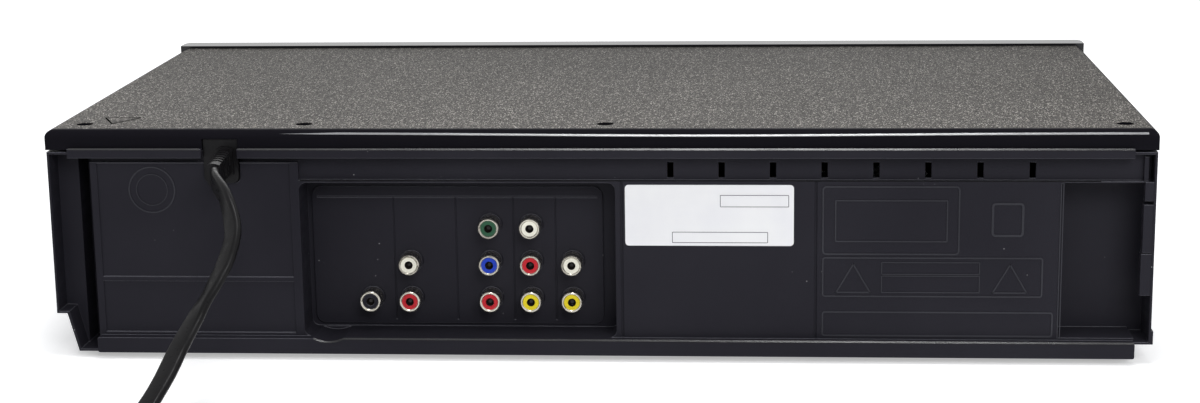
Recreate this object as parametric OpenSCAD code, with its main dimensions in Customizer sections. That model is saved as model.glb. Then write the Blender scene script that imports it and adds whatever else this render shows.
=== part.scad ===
// Disc player and video cassette recorder in one low case, modelled at real size in millimetres.
// The base of the feet is at z = 0, the front panel faces -Y, the connector panel faces +Y.

/* [Case] */
// Width of the front panel, the widest part of the case
panel_w = 435; // [425:1:450]
// Thickness of the front panel from front to back
panel_t = 14.5; // [14:0.5:18]
// How far the front panel stands above the top cover
panel_rise = 1.2; // [0.4:0.2:3]
// How far the front panel stands past the cover at each side
panel_overhang = 1.3; // [0.5:0.1:3]
// Depth of the top cover from the front panel to its rear face
cover_d = 217.5; // [212:0.5:240]
// Height of the feet under the case
foot_h = 2.4; // [2:0.2:8]
// Height of the case from the underside of the tub to the top of the cover
case_h = 90; // [90:1:104]
// Height of the skirt that runs round three sides of the cover
skirt_h = 7.9; // [6:0.1:9]
// Wall of the moulded case parts
wall = 2; // [1.8:0.1:2.6]
// Radius of the cover's long top edges
cover_r = 3; // [2.2:0.1:3.6]
// Width of the slant along each lower edge of the tub
slant_w = 8.2; // [6.6:0.2:9]
// Height at which that slant starts, above the underside of the tub
slant_h = 15.6; // [13:0.2:18]

/* [Connector panel] */
// How far the top and bottom rails stand behind the cover's rear face
rail_out = 2; // [1:0.5:4]
// How far the connector panel lies in front of the cover's rear face
panel_in = 2; // [1:0.5:4]
// Depth of the connector bay
bay_d = 16; // [12:0.5:18]
// Width of the connector bay
bay_w = 124.5; // [120:0.5:128]
// Distance between two rows of connectors
jack_pitch = 15; // [13:0.5:16]
// Outer radius of a connector's metal shell
jack_r = 4.15; // [4:0.05:4.3]
// How far a connector's shell stands out of its collar
jack_out = 7.7; // [6:0.1:9]
// Radius of the hole that takes a connector's centre pin
jack_bore_r = 1.65; // [1.6:0.05:1.9]
// Width of one ventilation slot
vent_w = 2.4; // [1.5:0.1:4]
// Height of one ventilation slot
vent_h = 6.2; // [4:0.2:7]
// Distance from one ventilation slot to the next
vent_pitch = 19.9; // [17:0.1:20.4]

/* [Cassette deck] */
// Width of the slot for a cassette 188 mm wide
slot_w = 192; // [190:0.5:194]
// Height of the slot for a cassette 25 mm thick
slot_h = 30.5; // [30:0.1:31]
// Thickness of the door in that slot
door_t = 3; // [2.6:0.1:3.2]
// Radius of the door's hinge pins
door_pin_r = 1.1; // [0.9:0.05:1.2]
// How far the cassette basket moves back
basket_back = 45; // [30:1:48]
// How far the cassette basket comes down
basket_down = 18; // [12:1:19]
// Distance between the two reel tables
reel_gap = 92; // [88:1:96]
// Radius of the head drum
drum_r = 31; // [28:0.5:32]
// Lean of the head drum
drum_lean = 5.9; // [3:0.1:7]
// Thickness of the deck's sheet metal
sheet = 1.2; // [1:0.1:1.6]
// Radius of the capstan
capstan_r = 1.5; // [1.2:0.1:2]
// Radius of the pinch roller
pinch_r = 5.5; // [5:0.1:6]

/* [Disc drive] */
// Radius of the recess for a disc of 120 mm
disc_recess_r = 60.5; // [60.2:0.1:61.5]
// Radius of the recess for a disc of 80 mm
small_recess_r = 40.5; // [40.2:0.1:41.5]
// Thickness of the tray
tray_t = 6; // [5:0.2:6.6]
// How far the tray comes out
tray_travel = 138; // [110:1:138]
// Tooth size of the tray's rack and pinion
gear_m = 1; // [0.8:0.1:1]
// Number of teeth on the pinion
pinion_n = 20; // [18:1:20]
// Radius of the turntable under a disc
turntable_r = 14.5; // [12:0.5:15.5]
// How far the pickup travels
sled_travel = 34; // [26:1:36]

/* [Buttons] */
// Width of a button
button_w = 24; // [18:1:28]
// Height of a button
button_h = 8; // [6:0.5:9]
// Travel of a button
button_travel = 0.8; // [0.5:0.1:1]
// Gap round a button
button_gap = 0.3; // [0.2:0.05:0.5]

/* [Mains cord] */
// Width of the flat two-core cord
cord_w = 7.8; // [7:0.1:8]
// Thickness of the flat two-core cord
cord_t = 3.4; // [2.8:0.1:3.6]
// Length of the tapered strain relief behind the case
boot_l = 20; // [20:1:24]

/* [Hidden] */
$fn = 48;
tiny = 0.01;
over = 1;

// Depth: the case is centred on y = 0 between the front face and the rails.
depth = panel_t + cover_d + rail_out;
y_front = -depth / 2;
y_joint = y_front + panel_t;
y_cover = y_joint + cover_d;
y_rail = y_cover + rail_out;
y_panel = y_cover - panel_in;
y_inner = y_panel - wall;

// Height
z_base = foot_h;
z_floor = z_base + wall;
z_top = z_base + case_h;
z_lid = z_top - wall;
z_skirt = z_top - skirt_h;
z_panel_top = z_top + panel_rise;
skirt_gap = 0.8;
z_wall = z_skirt - skirt_gap;

// Width
cover_w = panel_w - 2 * panel_overhang;
side_x = cover_w / 2 - 0.4;
inner_x = side_x - wall;
tongue_t = 1.4;
tongue_drop = cover_r;

// Connector panel: rails, bay, blank bay, corner channel and cord inlet
rail_h = 6.3;
z_rail_top = z_base + rail_h;
rail_x = side_x - 8.8;
low_rail_x = 6.4 - side_x;
step_in = 4.2;
z_step = z_base + slant_h;
rim_t = 0.9;
lip_h = 2.6;
z_shelf = z_skirt - 0.3;
z_lip = z_shelf - lip_h;
strip_in = 2;
strip_h = 9.6;
z_strip = z_lip - strip_h;
bay_x1 = side_x - 99.7;
bay_x0 = bay_x1 - bay_w;
bay_z0 = z_rail_top;
bay_z1 = z_strip - 0.9;
bay_r = 3;
y_bay = y_panel - bay_d;
plate_up = 0.8;
y_plate = y_bay + plate_up;
blank_x1 = 35.6 - side_x;
blank_z0 = z_rail_top + 1.1;
blank_z1 = z_strip - 0.6;
channel_x0 = side_x - 16.4;
channel_x1 = side_x - 9.3;
post_in = 8.7;
slot_in = 21;
inlet_x = side_x - 69.4;
inlet_w = 14.2;
inlet_z0 = z_wall - 12.8;
inlet_z1 = z_skirt + 4.4;

// Connectors: [x, row], row 0 at the bottom
jack_z0 = z_base + 18.6;
COLUMN = [for (x = [18.1, 34.5, 50.9, 83.1, 99]) bay_x0 + x];
VIDEO_OUT = [COLUMN[1], 0];
JACKS_WHITE = [[COLUMN[3], 1], [COLUMN[1], 2], [COLUMN[0], 1]];
JACKS_RED = [[COLUMN[3], 0], [COLUMN[2], 0], [COLUMN[1], 1]];
JACKS_GREEN = [[COLUMN[2], 2]];
JACKS_BLUE = [[COLUMN[2], 1]];
JACKS_YELLOW = [VIDEO_OUT, [COLUMN[0], 0]];
JACKS_BLACK = [[COLUMN[4], 0]];
JACKS_ALL = concat(JACKS_WHITE, JACKS_RED, JACKS_GREEN, JACKS_BLUE, JACKS_YELLOW, JACKS_BLACK);
collar_r = jack_r + 0.55;
collar_t = 0.8;
shell_t = 1;
y_collar = y_plate + collar_t;
y_jack = y_collar + jack_out;
jack_back = 9;
board_t = 1.6;
y_jack_board = y_bay - wall - jack_back;

// Front panel: cassette slot, tray slot, window, buttons and front connectors
front_t = 2.5;
y_front_in = y_front + front_t;
slot_x = 109.8 - side_x;
slot_z1 = z_lid - 8.4;
slot_z0 = slot_z1 - slot_h;
disc_x = side_x - 87.8;
tray_w = 128;
tray_z = z_lid - 23.9;
fascia_w = tray_w + 7.2;
fascia_h = 16.2;
fascia_gap = 0.4;
fascia_z = tray_z + 4;
window_w = tray_w + 4;
window_h = 18;
window_t = 2;
window_gap = 0.2;
window_rim = 1.6;
row_z = z_base + 0.766 * (slot_z0 - z_base);
low_row_z = z_base + 0.42 * (slot_z0 - z_base);
window_z = (fascia_z - fascia_h / 2 + low_row_z + button_h / 2) / 2 - 1.2;
button_step = 34;
power_x = slot_x - 82;
power_r = 7;
FRONT_WHITE = [slot_x - 26];
FRONT_YELLOW = [slot_x - 44];
front_jack_hole_r = jack_r + 1.25;
y_board = y_joint - 4.5;
board_z0 = 12;
board_z1 = slot_z0 - 3;
switch_h = 1.2;
plunger_h = 1;

// Door: its hinge line runs along X
door_gap = 0.6;
door_w = slot_w - 2 * door_gap;
pin_clear = 0.05;
pin_l = 3;
door_y0 = y_front + 0.1;
door_y = door_y0 + 1.6;
door_z = slot_z1 - door_gap - 1.5;
ear_t = 2.6;

// Cassette deck
z_deck = slot_z0 - 26.5;
z_deck_top = z_deck + sheet;
deck_w = 204;
deck_y0 = y_joint + 14.5;
deck_y1 = y_cover - 21;
side_gap = 0.6;
basket_w = slot_w + 2;
basket_l = 62;
basket_y0 = y_joint + 18.5;
basket_z0 = slot_z0 - 0.2;
basket_z1 = slot_z1;
slider_t = 2.3;
reel_y = -30;
drum_y = 58;
drum_z = z_deck + 6;
drum_split = 15;
drum_top = 29;
capstan_x = 60;
flywheel_r = 20;
capstan_y = 27;
pinch_pivot = [slot_x + 86, 40];
pinch_swing = 35;
pinch_clear = 0.17;

// Disc drive
disc_y = y_joint + 58.5;
tray_y0 = y_front + 3.1;
tray_y1 = 58;
recess_d = 3;
small_recess_d = 1;
slot_r = 17;
loader_w = tray_w + 12;
loader_y0 = y_joint + 3.5;
loader_y1 = 62;
loader_z = tray_z - 20.5;
loader_wall = 2.5;
ledge_gap = 0.2;
pinion_r = gear_m * pinion_n / 2;
pinion_y = y_joint + 14.5;
rack_x = disc_x - tray_w / 2 + 7;
pinion_x = rack_x + pinion_r;
gear_z = fascia_z - fascia_h / 2;
gear_t = tray_z - gear_z - 0.4;
backlash = 0.2;
wheel_r = 14;
pulley_r = 3.4;
belt_r = 0.7;
belt_clear = 0.2;
belt_z = loader_z + 5.5;
motor_x = pinion_x + 24;
traverse_y = 46;
traverse_z = tray_z - 10.5;
part_top = loader_z - 6.4;
bridge_z = tray_z + tray_t + 7.5;
puck_z = tray_z + tray_t + 0.6;

// ---- Helpers ----

// A block between two corners
module block(x0, x1, y0, y1, z0, z1) {
  translate([x0, y0, z0]) cube([x1 - x0, y1 - y0, z1 - z0]);
}

// A round bar along X, Y or Z
module bar_x(x0, x1, y, z, r) {
  translate([x0, y, z]) rotate([0, 90, 0]) cylinder(r = r, h = x1 - x0);
}

module bar_y(x, y0, y1, z, r) {
  translate([x, y1, z]) rotate([90, 0, 0]) cylinder(r = r, h = y1 - y0);
}

module bar_z(x, y, z0, z1, r) {
  translate([x, y, z0]) cylinder(r = r, h = z1 - z0);
}

// A rectangle with round corners, from one corner to the other
module round_rect(x0, x1, y0, y1, r) {
  translate([x0 + r, y0]) square([x1 - x0 - 2 * r, y1 - y0]);
  translate([x0, y0 + r]) square([x1 - x0, y1 - y0 - 2 * r]);
  for (x = [x0 + r, x1 - r], y = [y0 + r, y1 - r]) translate([x, y]) circle(r = r);
}

// A drawing in the XZ plane, pushed from y0 to y1
module push_y(y0, y1) {
  translate([0, y1, 0]) rotate([90, 0, 0]) linear_extrude(y1 - y0) children();
}

// A drawing in the YZ plane, pushed from x0 to x1
module push_x(x0, x1) {
  translate([x0, 0, 0]) rotate([90, 0, 90]) linear_extrude(x1 - x0) children();
}

// A block with four round edges along Y
module round_block(x0, x1, y0, y1, z0, z1, r) {
  push_y(y0, y1) round_rect(x0, x1, z0, z1, r);
}

// ---- Tub with the connector panel ----

// Cross-section of the tub, shrunk by inset
module tub_outline(inset, top) {
  x = side_x - inset;
  step_x = x - step_in;
  foot_x = side_x - slant_w - inset * 0.8;
  z = z_base + inset;
  step_z = z_step + inset;
  polygon([[-x, top], [-x, step_z], [-step_x, step_z], [-foot_x, z],
           [foot_x, z], [step_x, step_z], [x, step_z], [x, top]]);
}

// Boards on the floor of the tub
main_x0 = 25.8 - side_x;
main_x1 = disc_x - 88;
power_x0 = disc_x - 58;
power_x1 = disc_x + 58;
board_y0 = -60;
board_y1 = 80;

// Upright posts that carry boards, deck and disc drive
module stand_off(x, y, top, r) {
  bar_z(x, y, z_floor - tiny, top, r);
}

DECK_POSTS = [for (x = [-94, 94], y = [deck_y0 + 8, deck_y1 - 8]) [slot_x + x, y]];
LOADER_POSTS = [for (x = [-tray_w / 2, tray_w / 2], y = [loader_y0 + 9, loader_y1 - 6]) [disc_x + x, y]];
MAIN_POSTS = [for (x = [main_x0 + 6, main_x1 - 6], y = [board_y0 + 6, board_y1 - 6]) [x, y]];
POWER_POSTS = [for (x = [power_x0 + 6, power_x1 - 6], y = [board_y0 + 26, board_y1 - 6]) [x, y]];
z_board = z_base + 5.6;
SCREWS = [for (x = [side_x - 12.1, bay_x1 - 0.8, bay_x0 + 4.2, 10.6 - side_x]) [x, -13.5]];

module screw_post(at) {
  x = at[0];
  y = y_cover + at[1];
  difference() {
    union() {
      bar_z(x, y, z_lip - 4, z_lid - 4, 4);
      block(x - 1.5, x + 1.5, y, y_inner - strip_in + tiny, z_lip - 4, z_lid - 6);
    }
    bar_z(x, y, z_lip - 3, z_lid, 1.5);
  }
}

module panel_shell() {
  // the shell of the tub, open at the front and at the top
  difference() {
    push_y(y_joint, y_panel) tub_outline(0, z_wall);
    push_y(y_joint - over, y_inner) tub_outline(wall, z_wall + over);
    // the panel stops below the cover's skirt
    block(-inner_x, inner_x, y_inner - over, y_panel + over, z_lip, z_wall + over);
  }
  // tongues that carry the cover
  for (s = [-1, 1]) {
    block(min(s * inner_x, s * (inner_x - tongue_t)), max(s * inner_x, s * (inner_x - tongue_t)),
          y_joint + 2, y_inner, z_wall - 6, z_lid - tongue_drop);
  }
  // top rail: a shelf under the skirt and a lip behind it
  block(-rail_x, rail_x, y_inner - strip_in, y_rail, z_lip, z_shelf);
  block(-rail_x, rail_x, y_cover + 0.4, y_rail, z_shelf - 0.6, z_skirt + 0.7);
  block(-inner_x, inner_x, y_inner - strip_in, y_inner, z_lip - tiny, z_lid - tongue_drop);
  // bottom rail
  round_block(low_rail_x, channel_x0, y_inner, y_rail, z_base, z_rail_top, 0.8);
}

module strip_backing() {
  block(-inner_x - tiny, bay_x1 + wall, y_inner - strip_in, y_inner + tiny, z_strip - wall, z_lip + 0.5);
  block(bay_x1, channel_x0 + wall, y_inner - strip_in, y_inner + tiny, z_lip - 4.4, z_lip + 0.5);
  block(-inner_x - tiny, -inner_x + 3.4, y_panel - gap_in - wall, y_inner + tiny, z_strip - wall, z_wall);
}

// The walls round a box sunk into the panel
module sunk_box(x0, x1, z0, z1, y_back) {
  block(x0 - wall, x1 + wall, y_back - wall, y_inner + tiny, z0 - wall, z1 + wall);
}

// Whatever lies between the tub's two side walls, shrunk by inset
module within_tub(inset) {
  intersection() {
    children();
    push_y(y_joint, y_rail + 2 * over) tub_outline(inset, z_wall + (inset > 0 ? over : 0));
  }
}

gap_in = 6;
vent_x = bay_x0 - 21.6;
vent_n = floor((vent_x + inner_x - 40) / vent_pitch) + 1;
dip_x = bay_x1 - 10.2;
dip_z = bay_z0 + 12.2;
dip_r = 13.6;

// Connector bay: a hollow with a raised plate left standing at its back
module bay_hollow() {
  difference() {
    round_block(bay_x0, bay_x1, y_bay, y_rail + over, bay_z0, bay_z1, bay_r);
    round_block(bay_x0 + 5.9, bay_x1 - 1.9, y_bay - over, y_plate, bay_z0 + 1.4, bay_z1 - 4.7, 4);
  }
  // dividing grooves in the plate
  for (x = [89.8, 64.8, 41.7, 24.9] + [bay_x0, bay_x0, bay_x0, bay_x0]) {
    block(x - 0.3, x + 0.3, y_plate - 0.3, y_plate + over, bay_z0 + 3, bay_z1 - 9);
  }
  block(bay_x0 + 8, bay_x1 - 4, y_plate - 0.3, y_plate + over, bay_z1 - 9.2, bay_z1 - 8.6);
  // round finger dip in the bay's floor
  intersection() {
    bar_y(dip_x, y_plate, y_rail + over, dip_z, dip_r);
    block(bay_x0, bay_x1, y_plate, y_rail + over, z_base, bay_z0 + bay_r);
  }
}

// The cord inlet, shrunk by gap: square above, round corners below
module inlet_shape(y0, y1, gap) {
  x0 = inlet_x - inlet_w / 2 + gap;
  x1 = inlet_x + inlet_w / 2 - gap;
  round_block(x0, x1, y0, y1, inlet_z0 + gap, inlet_z1 - gap, 2.4);
  block(x0, x1, y0, y1, inlet_z0 + 4, inlet_z1 - gap);
}

module chassis() {
  color([0.09, 0.09, 0.1]) difference() {
    union() {
      panel_shell();
      strip_backing();
      sunk_box(bay_x0, bay_x1, bay_z0, bay_z1, y_bay);
      within_tub(0) {
        union() {
          sunk_box(-inner_x, blank_x1, blank_z0, blank_z1, y_bay);
          // corner channel: a post face and a deep slot beside it
          block(channel_x1 - tiny, inner_x + tiny, y_panel - post_in - wall, y_inner + tiny,
                z_base + 1, z_wall);
          block(channel_x0 - wall, channel_x1 + wall, y_panel - slot_in - wall, y_inner + tiny,
                z_base + 1, z_lip);
          bar_y(dip_x, y_bay - wall, y_inner + tiny, dip_z, dip_r + wall);
        }
      }
      // the blank bay runs on under the side wall's step
      block(-side_x, -side_x + 14, y_bay - wall, y_inner + tiny, z_rail_top - rim_t, z_step + wall + over);
      for (at = SCREWS) screw_post(at);
      for (p = DECK_POSTS) stand_off(p[0], p[1], z_deck, 4);
      for (p = LOADER_POSTS) stand_off(p[0], p[1], loader_z, 4);
      for (p = MAIN_POSTS) stand_off(p[0], p[1], z_board, 3);
      for (p = POWER_POSTS) stand_off(p[0], p[1], z_board, 3);
    }
    // ventilation strip and the narrow recess beside it
    block(-side_x + 4.6, bay_x1, y_panel - strip_in, y_panel + over, z_strip, z_lip);
    block(-side_x + rim_t, -side_x + 2.9, y_panel - gap_in, y_panel + over, z_strip - wall, z_wall - rim_t);
    block(bay_x1 - tiny, channel_x0, y_panel - strip_in, y_panel + over, z_lip - 2.4, z_lip);
    for (i = [0 : vent_n - 1]) {
      x = vent_x - i * vent_pitch;
      block(x - vent_w / 2, x + vent_w / 2,
            y_inner - strip_in - over, y_panel, z_strip + 0.8, z_strip + 0.8 + vent_h);
    }
    bay_hollow();
    for (j = JACKS_ALL) {
      bar_y(j[0], y_bay - wall - over, y_plate + over, jack_z0 + j[1] * jack_pitch, collar_r);
    }
    // blank bay at the other end
    round_block(-side_x + rim_t, blank_x1, y_bay, y_panel + over, blank_z0, blank_z1, 1);
    block(-side_x + rim_t, low_rail_x, y_bay, y_panel + over, z_rail_top, blank_z0 + 2);
    // corner channel: the tub ends at the post face, the slot beside it goes deeper
    block(channel_x1 - tiny, side_x + over, y_panel - post_in, y_cover + over, z_base - over, z_lip);
    block(rail_x, side_x + over, y_panel - post_in, y_cover + over, z_lip - tiny, z_wall + over);
    block(channel_x0, channel_x1, y_panel - slot_in, y_cover + over, z_base + rim_t, z_lip);
    // slots in the floor
    for (x = [each [slot_x - 54 : 12 : slot_x + 66], each [disc_x - 44 : 12 : disc_x + 40]]) {
      block(x - 1.5, x + 1.5, -26, 14, z_base - over, z_floor + over);
    }
    // cord inlet
    inlet_shape(y_inner - strip_in - over, y_rail + over, 0);
    // shallow framed fields and seams on the panel
    block(bay_x1 + 3.6, channel_x0 - 2.8, y_panel - 0.5, y_panel + over, z_base + 30.4, z_lip - 2.9);
    block(bay_x1 + 3.6, channel_x0 - 2.8, y_panel - 0.5, y_panel + over, z_rail_top + 1.3, z_base + 28.5);
    for (x = [bay_x0 - 2.5, bay_x0 - 78]) {
      block(x - 0.5, x + 0.5, y_panel - 0.6, y_panel + over, z_rail_top, z_strip);
    }
  }
  corner_rims();
}

// Thin rims round the two rear corners: one steps in and runs down to the floor, the other stops at the
// height of the bottom rail and carries catches for the cover
module corner_rims() {
  color([0.09, 0.09, 0.1]) {
    push_y(y_panel - post_in - tiny, y_cover) difference() {
      polygon([[channel_x0 - tiny, z_base], [side_x - slant_w, z_base], [side_x - step_in, z_step],
               [side_x, z_step], [side_x, z_wall], [channel_x0 - tiny, z_wall]]);
      polygon([[channel_x0 - over, z_base + rim_t], [side_x - slant_w - rim_t * 0.8, z_base + rim_t],
               [side_x - step_in - rim_t, z_step + rim_t], [side_x - rim_t, z_step + rim_t],
               [side_x - rim_t, z_wall - rim_t], [channel_x0 - over, z_wall - rim_t]]);
    }
    push_y(y_bay - wall, y_cover) difference() {
      translate([-side_x, z_rail_top - rim_t]) square([side_x - rail_x, z_wall - z_rail_top + rim_t]);
      translate([-side_x + rim_t, z_rail_top]) square([side_x, z_wall - z_rail_top - rim_t]);
    }
    // the foot of that rim stands out a little
    block(-side_x - 0.8, -side_x + tiny, y_cover - 5, y_cover, z_rail_top - rim_t, z_rail_top + 4.4);
    for (at = [[24.9, 16.5, 4.1], [41.8, 19, 3.7], [62.2, 7.4, 3.4]]) {
      z = z_base + at[0];
      block(-side_x + rim_t - tiny, -side_x + rim_t + at[2], y_cover - 4, y_cover - 0.2, z, z + at[1]);
    }
  }
}

// ---- Top cover ----

// Cross-section of the cover with its round edges, shrunk by inset
module cover_outline(inset) {
  x = cover_w / 2 - inset;
  z = z_top - inset;
  r = cover_r - inset * 0.5;
  translate([-x, z_skirt - (inset > 0 ? over : 0)]) square([2 * x, z - r - z_skirt + (inset > 0 ? over : 0)]);
  translate([-x + r, z_skirt]) square([2 * x - 2 * r, z - z_skirt]);
  for (s = [-1, 1]) translate([s * (x - r), z - r]) circle(r = r);
}

// The same rounding along the rear edge
module cover_side(inset) {
  y = y_cover - inset;
  z = z_top - inset;
  r = cover_r - inset * 0.5;
  drop = inset > 0 ? over : 0;
  translate([y_joint - drop, z_skirt - drop]) square([y - r - y_joint + drop, z - z_skirt + drop]);
  translate([y - r - tiny, z_skirt - drop]) square([r + tiny, z - r - z_skirt + drop]);
  translate([y - r, z - r]) circle(r = r);
}

module top_cover() {
  color([0.2, 0.2, 0.2]) difference() {
    union() {
      difference() {
        intersection() {
          push_y(y_joint, y_cover) cover_outline(0);
          push_x(-cover_w / 2, cover_w / 2) cover_side(0);
        }
        intersection() {
          push_y(y_joint - over, y_cover) cover_outline(wall);
          push_x(-cover_w / 2, cover_w / 2) cover_side(wall);
        }
      }
      // cups that take the screw heads
      for (at = SCREWS) bar_z(at[0], y_cover + at[1], z_lid - 4, z_lid + tiny, 5);
    }
    for (at = SCREWS) {
      bar_z(at[0], y_cover + at[1], z_lid - 2.4, z_top + over, 3.3);
      bar_z(at[0], y_cover + at[1], z_lid - 5, z_top, 1.7);
    }
    // notch over the cord inlet
    block(inlet_x - inlet_w / 2, inlet_x + inlet_w / 2, y_cover - wall - over, y_cover + over,
          z_skirt - over, inlet_z1);
  }
}

module cover_screws() {
  color("dimgray") for (at = SCREWS) {
    x = at[0];
    y = y_cover + at[1];
    difference() {
      bar_z(x, y, z_lid - 2.4, z_lid - 0.4, 2.9);
      for (turn = [0, 90]) {
        translate([x, y, z_lid - 0.8]) rotate([0, 0, turn]) cube([3.4, 0.8, 1], center = true);
      }
    }
    bar_z(x, y, z_lip - 2.5, z_lid - 2.4 + tiny, 1.5);
  }
}

module feet() {
  color([0.07, 0.07, 0.07]) for (x = [30.8 - side_x, side_x - 30.8], y = [y_joint + 12, y_cover - 20]) {
    difference() {
      bar_z(x, y, 0, z_base, 11);
      bar_z(x, y, -over, 0.6, 7);
    }
  }
}

// ---- Front panel ----

// Side view of the front panel, shrunk by inset
module panel_side(inset) {
  y0 = y_front + inset;
  z1 = z_panel_top - inset;
  z0 = z_base + inset;
  r = 3 - inset * 0.5;
  back = y_joint + (inset > 0 ? over : 0);
  polygon([[back, z0], [y0 + 4, z0], [y0, z0 + 9.6], [y0, z1 - r], [y0 + r, z1 - r], [y0 + r, z1],
        [back, z1]]);
  translate([y0 + r, z1 - r]) circle(r = r);
}

// Plan of the front panel with round front corners
module panel_plan(inset) {
  x = panel_w / 2 - inset;
  y0 = y_front + inset;
  r = 8 - inset;
  back = y_joint + (inset > 0 ? over : 0);
  translate([-x, y0 + r]) square([2 * x, back - y0 - r]);
  translate([-x + r, y0]) square([2 * x - 2 * r, r + tiny]);
  for (s = [-1, 1]) translate([s * (x - r), y0 + r]) circle(r = r);
}

module panel_body(inset) {
  intersection() {
    push_x(-panel_w / 2, panel_w / 2) panel_side(inset);
    linear_extrude(2 * z_panel_top) panel_plan(inset);
  }
}

ROW = [for (i = [-2 : 2]) slot_x + i * button_step];
DISC_ROW = [for (i = [-1 : 1]) disc_x + i * button_step];

module button_hole(x, z) {
  w = button_w / 2 + button_gap;
  h = button_h / 2 + button_gap;
  round_block(x - w, x + w, y_front - over, y_front_in + over, z - h, z + h, 1.5 + button_gap);
}

module front_panel() {
  color([0.03, 0.03, 0.03]) difference() {
    union() {
      difference() {
        panel_body(0);
        panel_body(front_t);
      }
      // ears that hold the door's pins, and a shelf under the cassette slot
      for (s = [-1, 1]) {
        x0 = slot_x + s * (slot_w / 2 + 0.2);
        x1 = x0 + s * (ear_t + 0.6);
        block(min(x0, x1), max(x0, x1), y_front_in - tiny, door_y + 4, door_z - 4, door_z + 4.5);
      }
      block(slot_x - slot_w / 2, slot_x + slot_w / 2, y_front_in - tiny, y_joint - 2, slot_z0 - 2,
            slot_z0 - 0.4);
      // stub for the door's spring
      bar_x(spring_x, spring_x + 9, spring_y, spring_z, spring_r - 0.6);
      block(spring_x, spring_x + 1.6, y_front_in - tiny, spring_y + 2, spring_z - 2, spring_z + 2);
      // pegs that carry the boards
      for (at = concat(PEGS_LEFT, PEGS_RIGHT)) bar_y(at[0], y_front_in - tiny, y_board, at[1], 2.5);
    }
    block(slot_x - slot_w / 2, slot_x + slot_w / 2, y_front - over, y_front_in + tiny, slot_z0, slot_z1);
    w = fascia_w / 2 + fascia_gap;
    h = fascia_h / 2 + fascia_gap;
    block(disc_x - w, disc_x + w, y_front - over, y_front_in + tiny, fascia_z - h, fascia_z + h);
    ww = window_w / 2;
    wh = window_h / 2;
    block(disc_x - ww, disc_x + ww, y_front - over, y_front_in + tiny, window_z - wh, window_z + wh);
    for (x = ROW) button_hole(x, row_z);
    for (x = DISC_ROW) button_hole(x, low_row_z);
    bar_y(power_x, y_front - over, y_front_in + over, low_row_z, power_r + button_gap);
    for (x = concat(FRONT_WHITE, FRONT_YELLOW)) {
      bar_y(x, y_front - over, y_front_in + over, low_row_z, front_jack_hole_r);
    }
    // hinge holes
    reach = slot_w / 2 + ear_t + 0.2;
    bar_x(slot_x - reach, slot_x + reach, door_y, door_z, door_pin_r + pin_clear);
  }
}

module cassette_door() {
  z0 = slot_z0 + door_gap;
  z1 = slot_z1 - door_gap;
  color([0.04, 0.04, 0.04]) {
    difference() {
      block(slot_x - door_w / 2, slot_x + door_w / 2, door_y0, door_y0 + door_t, z0, z1);
      // finger hollow along the lower edge
      bar_x(slot_x - 30, slot_x + 30, door_y0 - 7, z0 + 5, 8);
      // hollow back between the end ribs
      block(slot_x - door_w / 2 + 2, slot_x + door_w / 2 - 2, door_y0 + door_t - 0.8, door_y0 + door_t + over,
            z0 + 2, door_z - 3);
    }
    // hinge pins
    for (s = [-1, 1]) {
      x0 = slot_x + s * (door_w / 2);
      x2 = x0 + s * pin_l;
      bar_x(min(x0, x2) - tiny, max(x0, x2) + tiny, door_y, door_z, door_pin_r);
    }
  }
}

// Coil spring on its stub: one leg lies on the door's back, the other on the panel
spring_r = 2;
spring_wire = 0.4;
spring_x = slot_x - 80;
spring_y = y_front_in + 3.6;
spring_z = slot_z1 + 4.6;

module door_spring() {
  x0 = spring_x + 2.2;
  r = spring_r + spring_wire;
  color("silver") {
    for (i = [0 : 5]) translate([x0 + (2 * i + 1) * spring_wire, spring_y, spring_z]) {
      rotate([0, 90, 0]) rotate_extrude() translate([spring_r, 0]) circle(r = spring_wire + 0.02, $fn = 16);
    }
    y1 = spring_y - spring_r;
    bar_z(x0 + 11 * spring_wire, door_y0 + door_t + spring_wire, door_z - 3, spring_z, spring_wire);
    bar_z(x0 + spring_wire, y1, spring_z, spring_z + 4, spring_wire);
  }
}

module display_window() {
  w = window_w / 2 - window_gap;
  h = window_h / 2 - window_gap;
  color([0.15, 0.12, 0.12, 0.6]) {
    block(disc_x - w, disc_x + w, y_front + 0.2, y_front_in + tiny, window_z - h, window_z + h);
    block(disc_x - w - window_rim, disc_x + w + window_rim, y_front_in, y_front_in + window_t / 2,
          window_z - h - window_rim, window_z + h + window_rim);
  }
}

PEGS_LEFT = [for (x = [-92, 92], z = [board_z0 + 4, board_z1 - 4]) [slot_x + x, z]];
PEGS_RIGHT = [for (x = [-64, 64]) [disc_x + x, board_z0 + 4]];

// A row board behind the front panel: [x0, x1, z0, z1], with a switch behind each button
module row_board(x0, x1, z0, z1, switches) {
  color([0.55, 0.42, 0.2]) block(x0, x1, y_board, y_board + board_t, z0, z1);
  for (at = switches) {
    color([0.1, 0.1, 0.1]) block(at[0] - 3, at[0] + 3, y_board - switch_h, y_board + tiny, at[1] - 3,
          at[1] + 3);
    color([0.1, 0.1, 0.1]) bar_y(at[0], y_board - switch_h - plunger_h, y_board - switch_h + tiny,
          at[1], 1.7);
  }
}

// Left board with the switches, right board with the display module behind the window
module front_boards() {
  row_board(slot_x - 98, slot_x + 98, board_z0, board_z1,
            concat([for (x = ROW) [x, row_z]], [[power_x, low_row_z]]));
  row_board(disc_x - 70, disc_x + 70, board_z0, window_z + 11, [for (x = DISC_ROW) [x, low_row_z]]);
  color([0.3, 0.4, 0.4]) {
    block(disc_x - 45, disc_x + 45, y_front_in + window_t, y_board + tiny, window_z - 7, window_z + 7);
  }
}

// The shaft behind a cap, which ends just short of its switch
module button_stem(x, z) {
  bar_y(x, y_front_in + 1, y_board - switch_h - plunger_h - button_travel - 0.2, z, 2.5);
}

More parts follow.
